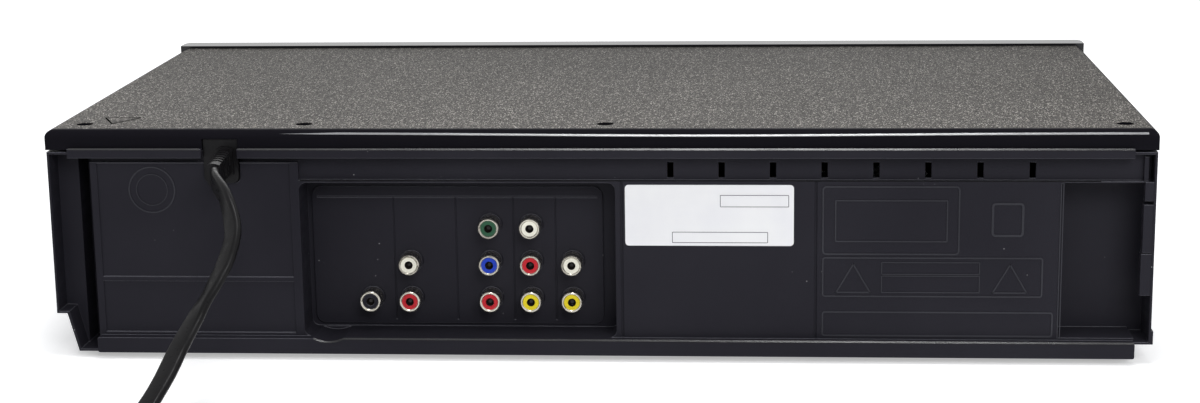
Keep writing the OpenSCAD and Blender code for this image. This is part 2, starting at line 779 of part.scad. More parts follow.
module button(x, z) {
  w = button_w / 2;
  h = button_h / 2;
  color([0.05, 0.05, 0.05]) {
    round_block(x - w, x + w, y_front + 0.1, y_front_in + 0.1, z - h, z + h, 1.5);
    // flange that keeps the cap behind the panel
    block(x - w - 1.5, x + w + 1.5, y_front_in + 0.05, y_front_in + 1.2, z - h - 1.5, z + h + 1.5);
    button_stem(x, z);
  }
}

module power_button() {
  color([0.05, 0.05, 0.05]) {
    bar_y(power_x, y_front + 0.1, y_front_in + 0.1, low_row_z, power_r);
    bar_y(power_x, y_front_in + 0.05, y_front_in + 1.2, low_row_z, power_r + 1);
    button_stem(power_x, low_row_z);
  }
}

module rewind_button() { button(ROW[0], row_z); }
module play_button() { button(ROW[1], row_z); }
module forward_button() { button(ROW[2], row_z); }
module record_button() { button(ROW[3], row_z); }
module eject_button() { button(ROW[4], row_z); }
module disc_play_button() { button(DISC_ROW[0], low_row_z); }
module disc_stop_button() { button(DISC_ROW[1], low_row_z); }
module disc_open_button() { button(DISC_ROW[2], low_row_z); }

// ---- Connectors ----

// The height of a connector of the rear panel
function jack_z(j) = jack_z0 + j[1] * jack_pitch;

// Moulded bodies behind the panel with a collar on its face
module jack_base() {
  color([0.06, 0.06, 0.06]) for (j = JACKS_ALL) {
    x = j[0];
    z = jack_z(j);
    difference() {
      union() {
        block(x - 5, x + 5, y_jack_board + board_t, y_bay - wall, z - 5.5, z + 5.5);
        bar_y(x, y_bay - wall - tiny, y_collar, z, collar_r - 0.1);
      }
      bar_y(x, y_bay - wall - 4, y_rail, z, jack_r - 0.25);
    }
  }
  // the black connector's plug of plastic
  color([0.05, 0.05, 0.05]) rear_inserts(JACKS_BLACK);
  color([0.06, 0.06, 0.06]) for (x = concat(FRONT_WHITE, FRONT_YELLOW)) difference() {
    union() {
      bar_y(x, y_front + 0.3, y_board, low_row_z, front_jack_hole_r - 0.2);
      bar_y(x, y_front_in, y_front_in + 1.5, low_row_z, front_jack_hole_r + 1.2);
    }
    bar_y(x, y_front - over, y_board + over, low_row_z, jack_r);
  }
}

y_neck = y_bay - wall - 4;
y_front_jack = y_front - 0.1;
pin_depth = 7;
rim_cut = 0.3;

// The slanted end of a connector's rim, from radius r0 to r1
module rim_cone(j, r0, r1) {
  translate([j[0], y_jack, jack_z(j)]) rotate([90, 0, 0]) cylinder(r1 = r1, r2 = r0, h = rim_cut + tiny);
}

// Thin metal tubes: behind the case each has a narrower neck inside its body
module rear_shell(j) {
  difference() {
    union() {
      bar_y(j[0], y_collar, y_jack - rim_cut, jack_z(j), jack_r);
      rim_cone(j, jack_r, jack_r - rim_cut);
      bar_y(j[0], y_neck, y_collar + tiny, jack_z(j), jack_r - 0.25);
    }
    bar_y(j[0], y_neck - over, y_jack + over, jack_z(j), jack_r - shell_t);
    rim_cone(j, jack_r - shell_t, jack_r - shell_t + rim_cut);
  }
}

module video_out_shell() { color("silver") rear_shell(VIDEO_OUT); }

module jack_shells() {
  color("silver") {
    for (j = JACKS_ALL) if (j != VIDEO_OUT) rear_shell(j);
    for (x = concat(FRONT_WHITE, FRONT_YELLOW)) difference() {
      bar_y(x, y_front_jack, y_board, low_row_z, jack_r);
      bar_y(x, y_front_jack - over, y_board + over, low_row_z, jack_r - shell_t);
    }
  }
}

// The coloured plugs of plastic inside the shells, with a hole for the centre pin
module rear_inserts(list) {
  for (j = list) difference() {
    bar_y(j[0], y_neck, y_jack - 0.4, jack_z(j), jack_r - shell_t);
    bar_y(j[0], y_jack - 0.4 - pin_depth, y_jack, jack_z(j), jack_bore_r);
  }
}

module front_inserts(list) {
  for (x = list) difference() {
    bar_y(x, y_front_jack + 0.4, y_board, low_row_z, jack_r - shell_t);
    bar_y(x, y_front_jack, y_front_jack + 0.4 + pin_depth, low_row_z, jack_bore_r);
  }
}

module jack_inserts_white() {
  color([0.9, 0.88, 0.84]) {
    rear_inserts(JACKS_WHITE);
    front_inserts(FRONT_WHITE);
  }
}

module jack_inserts_yellow() {
  color([0.9, 0.8, 0.1]) {
    rear_inserts(JACKS_YELLOW);
    front_inserts(FRONT_YELLOW);
  }
}

module jack_inserts_red() { color([0.8, 0.12, 0.12]) rear_inserts(JACKS_RED); }
module jack_insert_green() { color([0.15, 0.45, 0.25]) rear_inserts(JACKS_GREEN); }
module jack_insert_blue() { color([0.1, 0.25, 0.7]) rear_inserts(JACKS_BLUE); }

module jack_board() {
  color([0.5, 0.4, 0.2]) block(bay_x0 + 7, bay_x1 - 4, y_jack_board, y_jack_board + board_t,
                               jack_z0 - 9, bay_z1 - 5.1);
}

// ---- Mains cord ----

boot_z = z_skirt - 4.7;
boot_tilt = 4;
boot_r0 = 5.4;
boot_r1 = 4.6;
boot_x = inlet_x - 1.9;

// Moulded bush in the cord inlet, with a ribbed, tapered boot behind it
module cord_boot() {
  gap = 0.3;
  color([0.05, 0.05, 0.05]) {
    inlet_shape(y_inner - strip_in - 3, y_cover - 1, gap);
    translate([boot_x, y_cover - 1, boot_z]) rotate([-90 - boot_tilt, 0, 0]) boot_body();
  }
}

// The boot along Z: an oval flange, then a cone with two flat sides, cut by grooves that leave ribs
module boot_body() {
  w0 = cord_t / 2 + 1.1;
  w1 = cord_t / 2 + 0.7;
  l = boot_l;
  translate([0, 0, -0.6]) intersection() {
    cylinder(r = boot_r0 + 0.6, h = 2.4);
    translate([-w0 - 0.4, -boot_r0 - 1, 0]) cube([2 * w0 + 0.8, 2 * boot_r0 + 2, 2.4]);
  }
  difference() {
    intersection() {
      cylinder(r1 = boot_r0, r2 = boot_r1, h = l);
      rotate([90, 0, 0]) linear_extrude(4 * boot_r0, center = true) {
        polygon([[-w0, -over], [w0, -over], [w0, 0], [w1, l], [w1, l + over],
                 [-w1, l + over], [-w1, l], [-w0, 0]]);
      }
    }
    for (i = [0 : 5]) {
      z = 2.2 + i * 2.6;
      w = w0 - (w0 - w1) * z / l - 0.5;
      r = boot_r0 - (boot_r0 - boot_r1) * z / l - 0.6;
      translate([0, 0, z]) difference() {
        cylinder(r = 2 * boot_r0, h = 1.2);
        translate([0, 0, -over]) intersection() {
          cylinder(r = r, h = 4);
          translate([-w, -r - over, 0]) cube([2 * w, 2 * r + 2 * over, 4]);
        }
      }
    }
  }
}

coil_centre = [boot_x - 32, y_cover + 160];
coil_r = 40;
coil_build = 9.2;
coil_h = 2 * cord_w + 0.4;
rest_z = cord_w / 2 + 0.3;

// The lead from the boot to the coil: place from the boot's middle and the cover's rear face, share of
// the boot's height, and the turn of the flat side from level, in degrees
LEAD = [for (p = [
  [0, 13, 0.988, -90], [-0.5, 19, 0.98, -90], [-2.9, 26.7, 0.964, -88], [-9, 37.3, 0.906, -78],
  [-13.6, 48, 0.778, -42], [-12.4, 55.9, 0.658, -12], [-8.5, 60.7, 0.546, 0], [-2.8, 64.7, 0.413, 0],
  [2.4, 73.5, 0.277, 0], [5.2, 85.9, 0.171, 0], [9.2, 97.1, 0.069, 5], [12, 109.7, 0.01, 30],
  [12.6, 123.2, 0, 65], [12.5, 137, 0, 90], [11.5, 151, 0, 90]
]) [boot_x + p[0], y_cover + p[1], rest_z + p[2] * (boot_z - rest_z), p[3]]];

// The tail from the coil to the plug, from the coil's middle
TAIL = [for (p = [
  [-44.6, 0, 12, 90], [-46.3, -10.5, 11.2, 90], [-51.2, -20, 9.4, 75], [-59.8, -27, 7, 45],
  [-70.4, -30.2, 5.6, 15], [-79, -30.2, 5.8, 2], [-86, -30, 6.2, 0]
]) [coil_centre[0] + p[0], coil_centre[1] + p[1], p[2], p[3]]];

function unit(v) = v / norm(v);

// The direction of the route at point i
function along(p, i) =
  unit([for (k = [0 : 2]) p[min(i + 1, len(p) - 1)][k] - p[max(i - 1, 0)][k]]);

// One ring of the tube: a flat oval whose wide side is turned by the fourth number of its point
function ring(p, i, n) =
  let (
    t = along(p, i),
    level = unit([t[1], -t[0], 0]),
    up = cross(level, t),
    wide = level * cos(p[i][3]) + up * sin(p[i][3]),
    thin = cross(wide, t),
    at = [p[i][0], p[i][1], p[i][2]]
  )
  [for (k = [0 : n - 1]) at + wide * cord_w / 2 * cos(360 * k / n) + thin * cord_t / 2 * sin(360 * k / n)];

module tube(p, n) {
  rings = [for (i = [0 : len(p) - 1]) each ring(p, i, n)];
  last = (len(p) - 1) * n;
  polyhedron(rings, concat(
    [[for (k = [n - 1 : -1 : 0]) k]],
    [for (i = [0 : len(p) - 2], k = [0 : n - 1])
      each [[i * n + k, i * n + n + (k + 1) % n, i * n + n + k],
            [i * n + k, i * n + (k + 1) % n, i * n + n + (k + 1) % n]]],
    [[for (k = [0 : n - 1]) last + k]]
  ), convexity = 6);
}

module cord() {
  color([0.06, 0.06, 0.06]) {
    tube(LEAD, 10);
    tube(TAIL, 10);
  }
}

module cord_coil() {
  color([0.06, 0.06, 0.06]) translate([coil_centre[0], coil_centre[1], 0]) rotate_extrude() {
    translate([coil_r - coil_build / 2 - cord_t / 2, 0]) square([coil_build + cord_t, coil_h]);
  }
}

module plug() {
  x1 = coil_centre[0] - 84;
  body_l = 26;
  y = coil_centre[1] - 30;
  z = 6.5;
  color([0.06, 0.06, 0.06]) difference() {
    push_y(y - 10, y + 10) {
      polygon([[x1, z - 4], [x1, z + 4], [x1 - 8, z + 6.5], [x1 - body_l, z + 6.5],
               [x1 - body_l, z - 6.5], [x1 - 8, z - 6.5]]);
    }
    // grip hollows on both sides
    for (s = [-1, 1]) bar_z(x1 - 12, y + s * 17.5, -over, 20, 9);
  }
  blade_gap = 12.7;
  for (s = [-1, 1]) {
    h = s > 0 ? 7.9 : 6.35;
    color("silver") block(x1 - body_l - 17, x1 - body_l + tiny, y + s * blade_gap / 2 - 0.75,
                          y + s * blade_gap / 2 + 0.75, z - h / 2, z + h / 2);
  }
}

// ---- Boards ----

module main_board() {
  z = z_board + board_t;
  color([0.2, 0.35, 0.2]) difference() {
    block(main_x0, main_x1, board_y0, board_y1, z_board, z);
    // round window under the flywheel
    bar_z(slot_x + capstan_x, capstan_y, z_board - over, z + over, flywheel_r + 2);
  }
  color([0.1, 0.1, 0.1]) {
    block(main_x0 + 40, main_x0 + 64, -30, -6, z - tiny, z + 2);
    block(main_x1 - 60, main_x1 - 32, 20, 48, z - tiny, z + 2);
    block(main_x1 - 32, main_x1 - 12, -40, -24, z - tiny, z + 2);
  }
}

module power_board() {
  z = z_board + board_t - tiny;
  color([0.6, 0.5, 0.3]) block(power_x0, power_x1, board_y0 + 20, board_y1, z_board, z_board + board_t);
  color([0.1, 0.1, 0.2]) {
    bar_z(power_x0 + 26, board_y1 - 24, z, part_top - 1.6, 9);
    bar_z(power_x0 + 26, board_y1 - 50, z, part_top - 5.6, 6);
    bar_z(power_x0 + 42, board_y1 - 60, z, part_top - 9.6, 5);
    bar_z(power_x1 - 18, board_y1 - 74, z, part_top - 7.6, 8);
  }
  color("silver") {
    block(disc_x - 8, disc_x - 6, -20, 16, z, part_top - 1.6);
    block(disc_x - 8, disc_x + 4, -3, -1, z, part_top - 1.6);
  }
}

module transformer() {
  x = disc_x + 22;
  y = 52;
  z = z_board + board_t;
  color([0.5, 0.45, 0.35]) block(x - 13, x + 13, y - 11, y + 11, z, part_top - 4);
  color([0.3, 0.3, 0.3]) {
    block(x - 17, x + 17, y - 4, y + 4, part_top - 4, part_top);
    for (s = [-1, 1]) block(x + s * 15 - 2, x + s * 15 + 2, y - 4, y + 4, z, part_top - 4 + tiny);
  }
}

// ---- Cassette deck ----

module deck_plate() {
  color([0.7, 0.7, 0.72]) difference() {
    union() {
      block(slot_x - deck_w / 2, slot_x + deck_w / 2, deck_y0, deck_y1, z_deck, z_deck_top);
      // posts for the reel tables
      for (s = [-1, 1]) bar_z(slot_x + s * reel_gap / 2, reel_y, z_deck_top - tiny, z_deck + 19, 1.5);
      // capstan bearing
      bar_z(slot_x + capstan_x, capstan_y, z_deck - 2, z_deck_top + 5, 3.5);
      // post for the pinch arm
      bar_z(pinch_pivot[0], pinch_pivot[1], z_deck_top - tiny, z_deck + 15, 2);
    }
    bar_z(slot_x + capstan_x, capstan_y, z_deck - 4, z_deck_top + 12, capstan_r + pin_clear);
    // lightening windows
    for (x = [-78, 22]) block(slot_x + x, slot_x + x + 52, deck_y0 + 12, deck_y0 + 34, z_deck - over,
          z_deck_top + over);
  }
}

frame_x = basket_w / 2 + side_gap + slider_t + 0.4;

// Upright side plates with the tracks that the basket's sliders run in, joined by a bar
module carriage_frame() {
  y0 = deck_y0;
  y1 = 40;
  top = slot_z1 + 0.5;
  track_z = slot_z0 + 10.5;
  color([0.72, 0.72, 0.74]) {
    for (s = [-1, 1]) {
      x0 = slot_x + s * frame_x;
      x1 = x0 + s * sheet;
      difference() {
        block(min(x0, x1), max(x0, x1), y0, y1, z_deck_top, top + sheet);
        block(min(x0, x1) - over, max(x0, x1) + over, y0 + 10, y1 - 18, track_z - 4, track_z);
        block(min(x0, x1) - over, max(x0, x1) + over, y1 - 18 - tiny, y1 - 14, track_z - 24, track_z);
      }
    }
    block(slot_x - frame_x, slot_x + frame_x, 28, y1, top, top + sheet);
  }
}

// The two sliding blocks that carry the basket back
module basket_sliders() {
  color([0.2, 0.2, 0.22]) for (s = [-1, 1]) {
    x0 = slot_x + s * (basket_w / 2 + side_gap);
    x1 = x0 + s * slider_t;
    difference() {
      block(min(x0, x1), max(x0, x1), basket_y0, basket_y0 + basket_l - 8, basket_z0 - 10, slot_z1 + 0.1);
      block(min(x0, x1) - over, max(x0, x1) + over, basket_y0 + 10, basket_y0 + 44, basket_z0, slot_z1 - 8);
    }
  }
}

// Sheet metal holder for the cassette: open at both ends, with shelves along its sides
module cassette_basket() {
  w = basket_w / 2;
  y0 = basket_y0;
  y1 = basket_y0 + basket_l;
  shelf = 15;
  color([0.75, 0.75, 0.77]) difference() {
    block(slot_x - w, slot_x + w, y0, y1, basket_z0, basket_z1);
    block(slot_x - w + sheet, slot_x + w - sheet, y0 - over, y1 + over, basket_z0 + sheet, basket_z1 - sheet);
    block(slot_x - w + shelf, slot_x + w - shelf, y0 - over, y1 + over, basket_z0 - over,
          basket_z0 + sheet + over);
    block(slot_x - 50, slot_x + 50, y0 + 18, y1 - 14, basket_z1 - sheet - over, basket_z1 + over);
  }
}

// Reel table: a rimmed disc with a three-finned spindle
module reel(x) {
  z0 = z_deck_top + 0.6;
  color([0.85, 0.85, 0.85]) difference() {
    union() {
      bar_z(x, reel_y, z0, z0 + 3.4, 16);
      bar_z(x, reel_y, z0 + 3.3, z0 + 6, 11);
      bar_z(x, reel_y, z0 + 5.9, z_deck + 23, 4.6);
      for (a = [0, 120, 240]) translate([x, reel_y, z0 + 6]) rotate([0, 0, a]) {
        translate([0, -1, -0.1]) cube([7, 2, 12]);
      }
    }
    bar_z(x, reel_y, z0 - over, z_deck + 19.5, 1.5 + pin_clear);
  }
}

module supply_reel() { reel(slot_x - reel_gap / 2); }
module take_up_reel() { reel(slot_x + reel_gap / 2); }

module drum_place() {
  translate([slot_x, drum_y, drum_z]) rotate([0, drum_lean, 0]) children();
}

// Fixed half of the head drum, with the shaft that carries the turning half
module lower_drum() {
  color([0.8, 0.8, 0.82]) {
    drum_place() difference() {
      union() {
        cylinder(r = drum_r, h = drum_split);
        cylinder(r = 2.5, h = drum_top - 2);
      }
      translate([0, 0, 4]) difference() {
        cylinder(r = drum_r - 4, h = drum_split);
        translate([0, 0, -over]) cylinder(r = 9, h = drum_split + 2 * over);
      }
    }
    // foot that stands on the deck
    difference() {
      bar_z(slot_x, drum_y, z_deck_top, drum_z + 3, 12);
      drum_place() cylinder(r = drum_r, h = 20);
    }
  }
}

// Turning half of the head drum with its balance holes
module upper_drum() {
  color([0.86, 0.86, 0.88]) drum_place() difference() {
    translate([0, 0, drum_split + 0.3]) cylinder(r = drum_r, h = drum_top - drum_split - 0.3);
    translate([0, 0, drum_top - 2]) difference() {
      cylinder(r = drum_r - 3, h = 3);
      translate([0, 0, -over]) cylinder(r = 10, h = 5);
    }
    cylinder(r = 2.5 + pin_clear, h = drum_top + over);
    for (a = [0 : 60 : 300]) rotate([0, 0, a]) translate([19, 0, drum_split + 5]) cylinder(r = 3, h = 20);
  }
}

// Shaft and flywheel
module capstan() {
  color("silver") {
    bar_z(slot_x + capstan_x, capstan_y, z_deck - 10, z_deck + 25, capstan_r);
    bar_z(slot_x + capstan_x, capstan_y, z_deck - 10.5, z_deck - 4, flywheel_r);
  }
}

// Arm that swings the roller to the capstan
pinch_reach = norm([capstan_x + slot_x - pinch_pivot[0], capstan_y - pinch_pivot[1]])
              - pinch_r - capstan_r - pinch_clear;
pinch_angle = atan2(capstan_y - pinch_pivot[1], capstan_x + slot_x - pinch_pivot[0]) - pinch_swing;
pinch_at = pinch_pivot + pinch_reach * [cos(pinch_angle), sin(pinch_angle)];

module pinch_arm() {
  z0 = z_deck_top + 6;
  color([0.6, 0.6, 0.62]) {
    difference() {
      union() {
        bar_z(pinch_pivot[0], pinch_pivot[1], z0, z0 + 5, 4);
        translate([pinch_pivot[0], pinch_pivot[1], z0]) rotate([0, 0, pinch_angle]) {
          translate([0, -3, 0]) cube([pinch_reach, 6, 2]);
        }
        bar_z(pinch_at[0], pinch_at[1], z0, z0 + 2, 4);
      }
      bar_z(pinch_pivot[0], pinch_pivot[1], z0 - over, z0 + 6, 2 + pin_clear);
    }
    bar_z(pinch_at[0], pinch_at[1], z0 + 2 - tiny, z0 + 17, 1.2);
  }
}

module pinch_roller() {
  z0 = z_deck_top + 8.6;
  color([0.1, 0.1, 0.1]) difference() {
    bar_z(pinch_at[0], pinch_at[1], z0, z0 + 13, pinch_r);
    bar_z(pinch_at[0], pinch_at[1], z0 - over, z0 + 14, 1.2 + pin_clear);
  }
}

// Fixed guide posts and the erase and sound heads along the tape path
module tape_guides() {
  for (at = [[-62, -24], [-50, -10], [46, -6], [52, -16]]) {
    color("silver") {
      bar_z(slot_x + at[0], drum_y + at[1], z_deck_top, z_deck + 25, 1.6);
      bar_z(slot_x + at[0], drum_y + at[1], z_deck + 23, z_deck + 25, 3.4);
    }
  }
  color([0.3, 0.3, 0.32]) {
    block(slot_x - 74, slot_x - 62, drum_y - 18, drum_y - 8, z_deck_top, z_deck + 23);
    block(slot_x + 38, slot_x + 48, drum_y, drum_y + 12, z_deck_top, z_deck + 23);
  }
}

// ---- Disc drive ----

module loader_base() {
  w = loader_w / 2;
  z1 = bridge_z - 4;
  color([0.15, 0.15, 0.16]) difference() {
    union() {
      block(disc_x - w, disc_x + w, loader_y0, loader_y1, loader_z, loader_z + 2);
      for (s = [-1, 1]) {
        x0 = disc_x + s * w;
        x1 = x0 - s * loader_wall;
        block(min(x0, x1), max(x0, x1), loader_y0, loader_y1, loader_z, z1);
        x2 = disc_x + s * (tray_w / 2 - 2.5);
        block(min(x0, x2), max(x0, x2), loader_y0, loader_y1, tray_z - ledge_gap - 2, tray_z - ledge_gap);
        // hooks over the tray's edges
        z2 = tray_z + tray_t + ledge_gap;
        block(min(x0, x2), max(x0, x2), loader_y0, loader_y0 + 12, z2, z2 + 1.6);
      }
      block(disc_x - w, disc_x + w, loader_y1 - 2, loader_y1, loader_z, gear_z - 1);
      // hinge posts of the traverse, shaft of the pinion
      for (s = [-1, 1]) {
        x0 = disc_x + s * 31;
        x1 = x0 + s * 4;
        block(min(x0, x1), max(x0, x1), traverse_y - 4, traverse_y + 4, loader_z, traverse_z + 4);
      }
      bar_z(pinion_x, pinion_y, loader_z + 2 - tiny, gear_z + gear_t + 0.2, 1.5);
    }
    // window for the traverse
    block(disc_x - 30.5, disc_x + 30.5, disc_y - 20, traverse_y + 8, loader_z - over, loader_z + 2 + over);
    bar_x(disc_x - 36, disc_x + 36, traverse_y, traverse_z, 1.5 + pin_clear);
    // hole for the loading motor
    bar_z(motor_x, pinion_y, loader_z - over, loader_z + 3, 8.4);
  }
}

module disc_tray() {
  z1 = tray_z + tray_t;
  color([0.12, 0.12, 0.13]) difference() {
    block(disc_x - tray_w / 2, disc_x + tray_w / 2, tray_y0, tray_y1, tray_z, z1);
    bar_z(disc_x, disc_y, z1 - recess_d, z1 + over, disc_recess_r);
    bar_z(disc_x, disc_y, z1 - recess_d - small_recess_d, z1 + over, small_recess_r);
    // slot that the turntable and the pickup stand in, open to the rear
    bar_z(disc_x, disc_y, tray_z - over, z1 + over, slot_r);
    block(disc_x - slot_r, disc_x + slot_r, disc_y, tray_y1 + over, tray_z - over, z1 + over);
    // finger notches at the disc's edge
    for (s = [-1, 1]) bar_z(disc_x + s * (disc_recess_r + 1), disc_y, z1 - recess_d, z1 + over, 10);
    // shallow field behind the disc
    for (s = [-1, 1]) {
      x0 = disc_x + s * (slot_r + 4);
      x1 = disc_x + s * (tray_w / 2 - 6);
      block(min(x0, x1), max(x0, x1), disc_y + disc_recess_r + 4, tray_y1 - 4, z1 - 2, z1 + over);
    }
  }
}

// Rack of straight teeth under the tray's left edge. A space faces the pinion at rest.
rack_pitch = PI * gear_m;
rack_n = ceil((tray_travel + 3) / rack_pitch);

function rack_tooth(i) =
  let (
    c = pinion_y + (i - 0.5) * rack_pitch,
    half = rack_pitch / 4 - backlash / 2,
    tip = half - gear_m * tan(20),
    root = half + 1.25 * gear_m * tan(20)
  )
  [[rack_x - 1.25 * gear_m, c - root], [rack_x + gear_m, c - tip],
   [rack_x + gear_m, c + tip], [rack_x - 1.25 * gear_m, c + root]];

module tray_rack() {
  y0 = pinion_y - 1.5 * rack_pitch - gear_m;
  y1 = pinion_y + (rack_n + 0.5) * rack_pitch;
  color([0.8, 0.8, 0.78]) translate([0, 0, gear_z]) linear_extrude(tray_z - gear_z) {
    polygon(concat(
      [[rack_x - 4, y0], [rack_x - 1.25 * gear_m, y0]],
      [for (i = [0 : rack_n]) each rack_tooth(i)],
      [[rack_x - 1.25 * gear_m, y1], [rack_x - 4, y1]]
    ));
  }
}

// Half the width of a pinion tooth at radius r, in degrees
function involute(a) = tan(a) * 180 / PI - a;
function tooth_half(r) =
  90 / pinion_n - backlash / 2 / pinion_r * 180 / PI
  + involute(20) - involute(acos(min(1, pinion_r * cos(20) / r)));

tooth_steps = 4;
pinion_root = pinion_r - 1.25 * gear_m;
pinion_base = pinion_r * cos(20);
pinion_tip = pinion_r + 0.9 * gear_m;

function flank_r(k) = pinion_base + (pinion_tip - pinion_base) * k / tooth_steps;

function pinion_tooth(i) =
  let (c = 180 + i * 360 / pinion_n)
  concat(
    [pinion_root * [cos(c - tooth_half(pinion_base)), sin(c - tooth_half(pinion_base))]],
    [for (k = [0 : tooth_steps]) flank_r(k) * [cos(c - tooth_half(flank_r(k))),
          sin(c - tooth_half(flank_r(k)))]],
    [for (k = [tooth_steps : -1 : 0]) flank_r(k) * [cos(c + tooth_half(flank_r(k))),
          sin(c + tooth_half(flank_r(k)))]],
    [pinion_root * [cos(c + tooth_half(pinion_base)), sin(c + tooth_half(pinion_base))]]
  );

module tray_pinion() {
  color([0.9, 0.9, 0.88]) translate([pinion_x, pinion_y, 0]) difference() {
    union() {
      translate([0, 0, gear_z]) linear_extrude(gear_t) {
        polygon([for (i = [0 : pinion_n - 1]) each pinion_tooth(i)]);
      }
      bar_z(0, 0, loader_z + 2.4, gear_z + tiny, 5);
      bar_z(0, 0, belt_z - 1.5, belt_z + 1.5, wheel_r);
    }
    bar_z(0, 0, loader_z, gear_z + gear_t + over, 1.5 + pin_clear);
    // groove for the belt
    translate([0, 0, belt_z]) rotate_extrude() translate([wheel_r, 0]) circle(r = belt_r + belt_clear);
  }
}

module tray_fascia() {
  w = fascia_w / 2;
  h = fascia_h / 2;
  color([0.03, 0.03, 0.03]) difference() {
    block(disc_x - w, disc_x + w, y_front + 0.1, y_front + 3.1, fascia_z - h, fascia_z + h);
    // finger line along the lower edge
    bar_x(disc_x - w - over, disc_x + w + over, y_front - 2.2, fascia_z - h, 3);
  }
}

// Small motor under the base, with its flange on top
module loading_motor() {
  color("silver") difference() {
    union() {
      bar_z(motor_x, pinion_y, loader_z - 12, loader_z + 2 + tiny, 8);
      bar_z(motor_x, pinion_y, loader_z + 2, loader_z + 2.6, 9.6);
    }
    bar_z(motor_x, pinion_y, loader_z - 6, loader_z + 3, 1 + pin_clear);
  }
}

// Motor shaft with its grooved pulley
module motor_pulley() {
  color([0.8, 0.8, 0.78]) difference() {
    union() {
      bar_z(motor_x, pinion_y, loader_z - 5.8, loader_z + 8, 1);
      bar_z(motor_x, pinion_y, belt_z - 1.9, belt_z + 1.9, pulley_r);
    }
    translate([motor_x, pinion_y, belt_z]) rotate_extrude() {
      translate([pulley_r, 0]) circle(r = belt_r + belt_clear);
    }
  }
}

// Outline round both wheels at a distance r from the belt's centre line
module belt_outline(r) {
  hull() {
    circle(r = wheel_r + r, $fn = 64);
    translate([motor_x - pinion_x, 0]) circle(r = pulley_r + r, $fn = 32);
  }
}

// Rubber belt from the motor pulley to the pinion's wheel
module drive_belt() {
  color([0.05, 0.05, 0.05]) translate([pinion_x, pinion_y, belt_z - belt_r / 2]) linear_extrude(belt_r) {
    difference() {
      belt_outline(belt_r / 2);
      belt_outline(-belt_r / 2);
    }
  }
}

// Hinged plate that carries turntable, rods and pickup
module traverse_deck() {
  z0 = traverse_z - 1;
  color([0.7, 0.7, 0.72]) difference() {
    union() {
      block(disc_x - 29, disc_x + 29, disc_y - 16, traverse_y + 3, z0, z0 + 2);
      bar_x(disc_x - 34, disc_x + 34, traverse_y, traverse_z, 1.5);
      // saddles for the rods
      for (x = [-22, 22], y = [disc_y + 6, traverse_y - 12]) {
        block(disc_x + x - 3, disc_x + x + 3, y, y + 4, z0 + 2 - tiny, z0 + 7);
      }
      bar_z(disc_x, disc_y, z0 + 2 - tiny, z0 + 3, 12);
    }
    block(disc_x - 18, disc_x + 18, disc_y + 14, traverse_y - 14, z0 - over, z0 + 2 + over);
    bar_z(disc_x, disc_y, z0 - over, z0 + 4, 1 + pin_clear);
    for (x = [-22, 22]) bar_y(disc_x + x, disc_y, traverse_y, z0 + 5, 1.5);
  }
}

// Spindle motor cap, turntable and centring cone
module turntable() {
  z0 = traverse_z + 2.2;
  color([0.2, 0.2, 0.22]) {
    bar_z(disc_x, disc_y, traverse_z, z0 + tiny, 1);
    bar_z(disc_x, disc_y, z0, z0 + 7, 11);
    bar_z(disc_x, disc_y, z0 + 7 - tiny, tray_z + 3.4, 4);
    bar_z(disc_x, disc_y, tray_z + 3.4 - tiny, tray_z + 4.4, turntable_r);
    translate([disc_x, disc_y, tray_z + 4.4 - tiny]) cylinder(r1 = 7.4, r2 = 5.4, h = 2.1);
  }
}

module guide_rods() {
  z = traverse_z + 4;
  color("silver") for (x = [-22, 22]) bar_y(disc_x + x, disc_y + 6, traverse_y - 8, z, 1.5);
}

// Pickup on its two rods, with the lens on top
module pickup_sled() {
  y0 = disc_y + 16;
  z = traverse_z + 4;
  color([0.3, 0.3, 0.32]) difference() {
    union() {
      block(disc_x - 16, disc_x + 16, y0, y0 + 20, z - 3.5, z + 4);
      for (s = [-1, 1]) block(disc_x + s * 20 - 6, disc_x + s * 20 + 6, y0 + 6, y0 + 14, z - 2.6, z + 2.6);
    }
    for (x = [-22, 22]) bar_y(disc_x + x, y0 - over, y0 + 21, z, 1.5 + pin_clear);
  }
  color([0.6, 0.2, 0.8]) {
    bar_z(disc_x, y0 + 8, z + 4 - tiny, z + 5.4, 5);
    translate([disc_x, y0 + 8, z + 5.3]) cylinder(r1 = 2.4, r2 = 1.4, h = 1.1);
  }
}

// Sheet metal bridge over the tray
module clamp_bridge() {
  w = loader_w / 2;
  z1 = bridge_z - 4;
  z2 = bridge_z;
  color([0.75, 0.75, 0.77]) difference() {
    union() {
      block(disc_x - w, disc_x + w, disc_y - 18, disc_y + 18, z2, z2 + sheet);
      for (s = [-1, 1]) {
        x0 = disc_x + s * w;
        x1 = x0 - s * loader_wall;
        block(min(x0, x1), max(x0, x1), disc_y - 18, disc_y + 18, z1, z2 + tiny);
      }
    }
    bar_z(disc_x, disc_y, z2 - over, z2 + sheet + over, 12);
  }
}

// Magnetic puck that holds a disc on the turntable
module clamp_puck() {
  top = bridge_z + sheet + 0.2;
  color([0.85, 0.85, 0.83]) difference() {
    union() {
      bar_z(disc_x, disc_y, top, top + 1.6, 14);
      bar_z(disc_x, disc_y, puck_z + 1, top + tiny, 11);
      bar_z(disc_x, disc_y, puck_z, puck_z + 2, 13);
    }
    // hollow for the centring cone
    bar_z(disc_x, disc_y, puck_z - over, puck_z + 2.4, 7.8);
  }
}

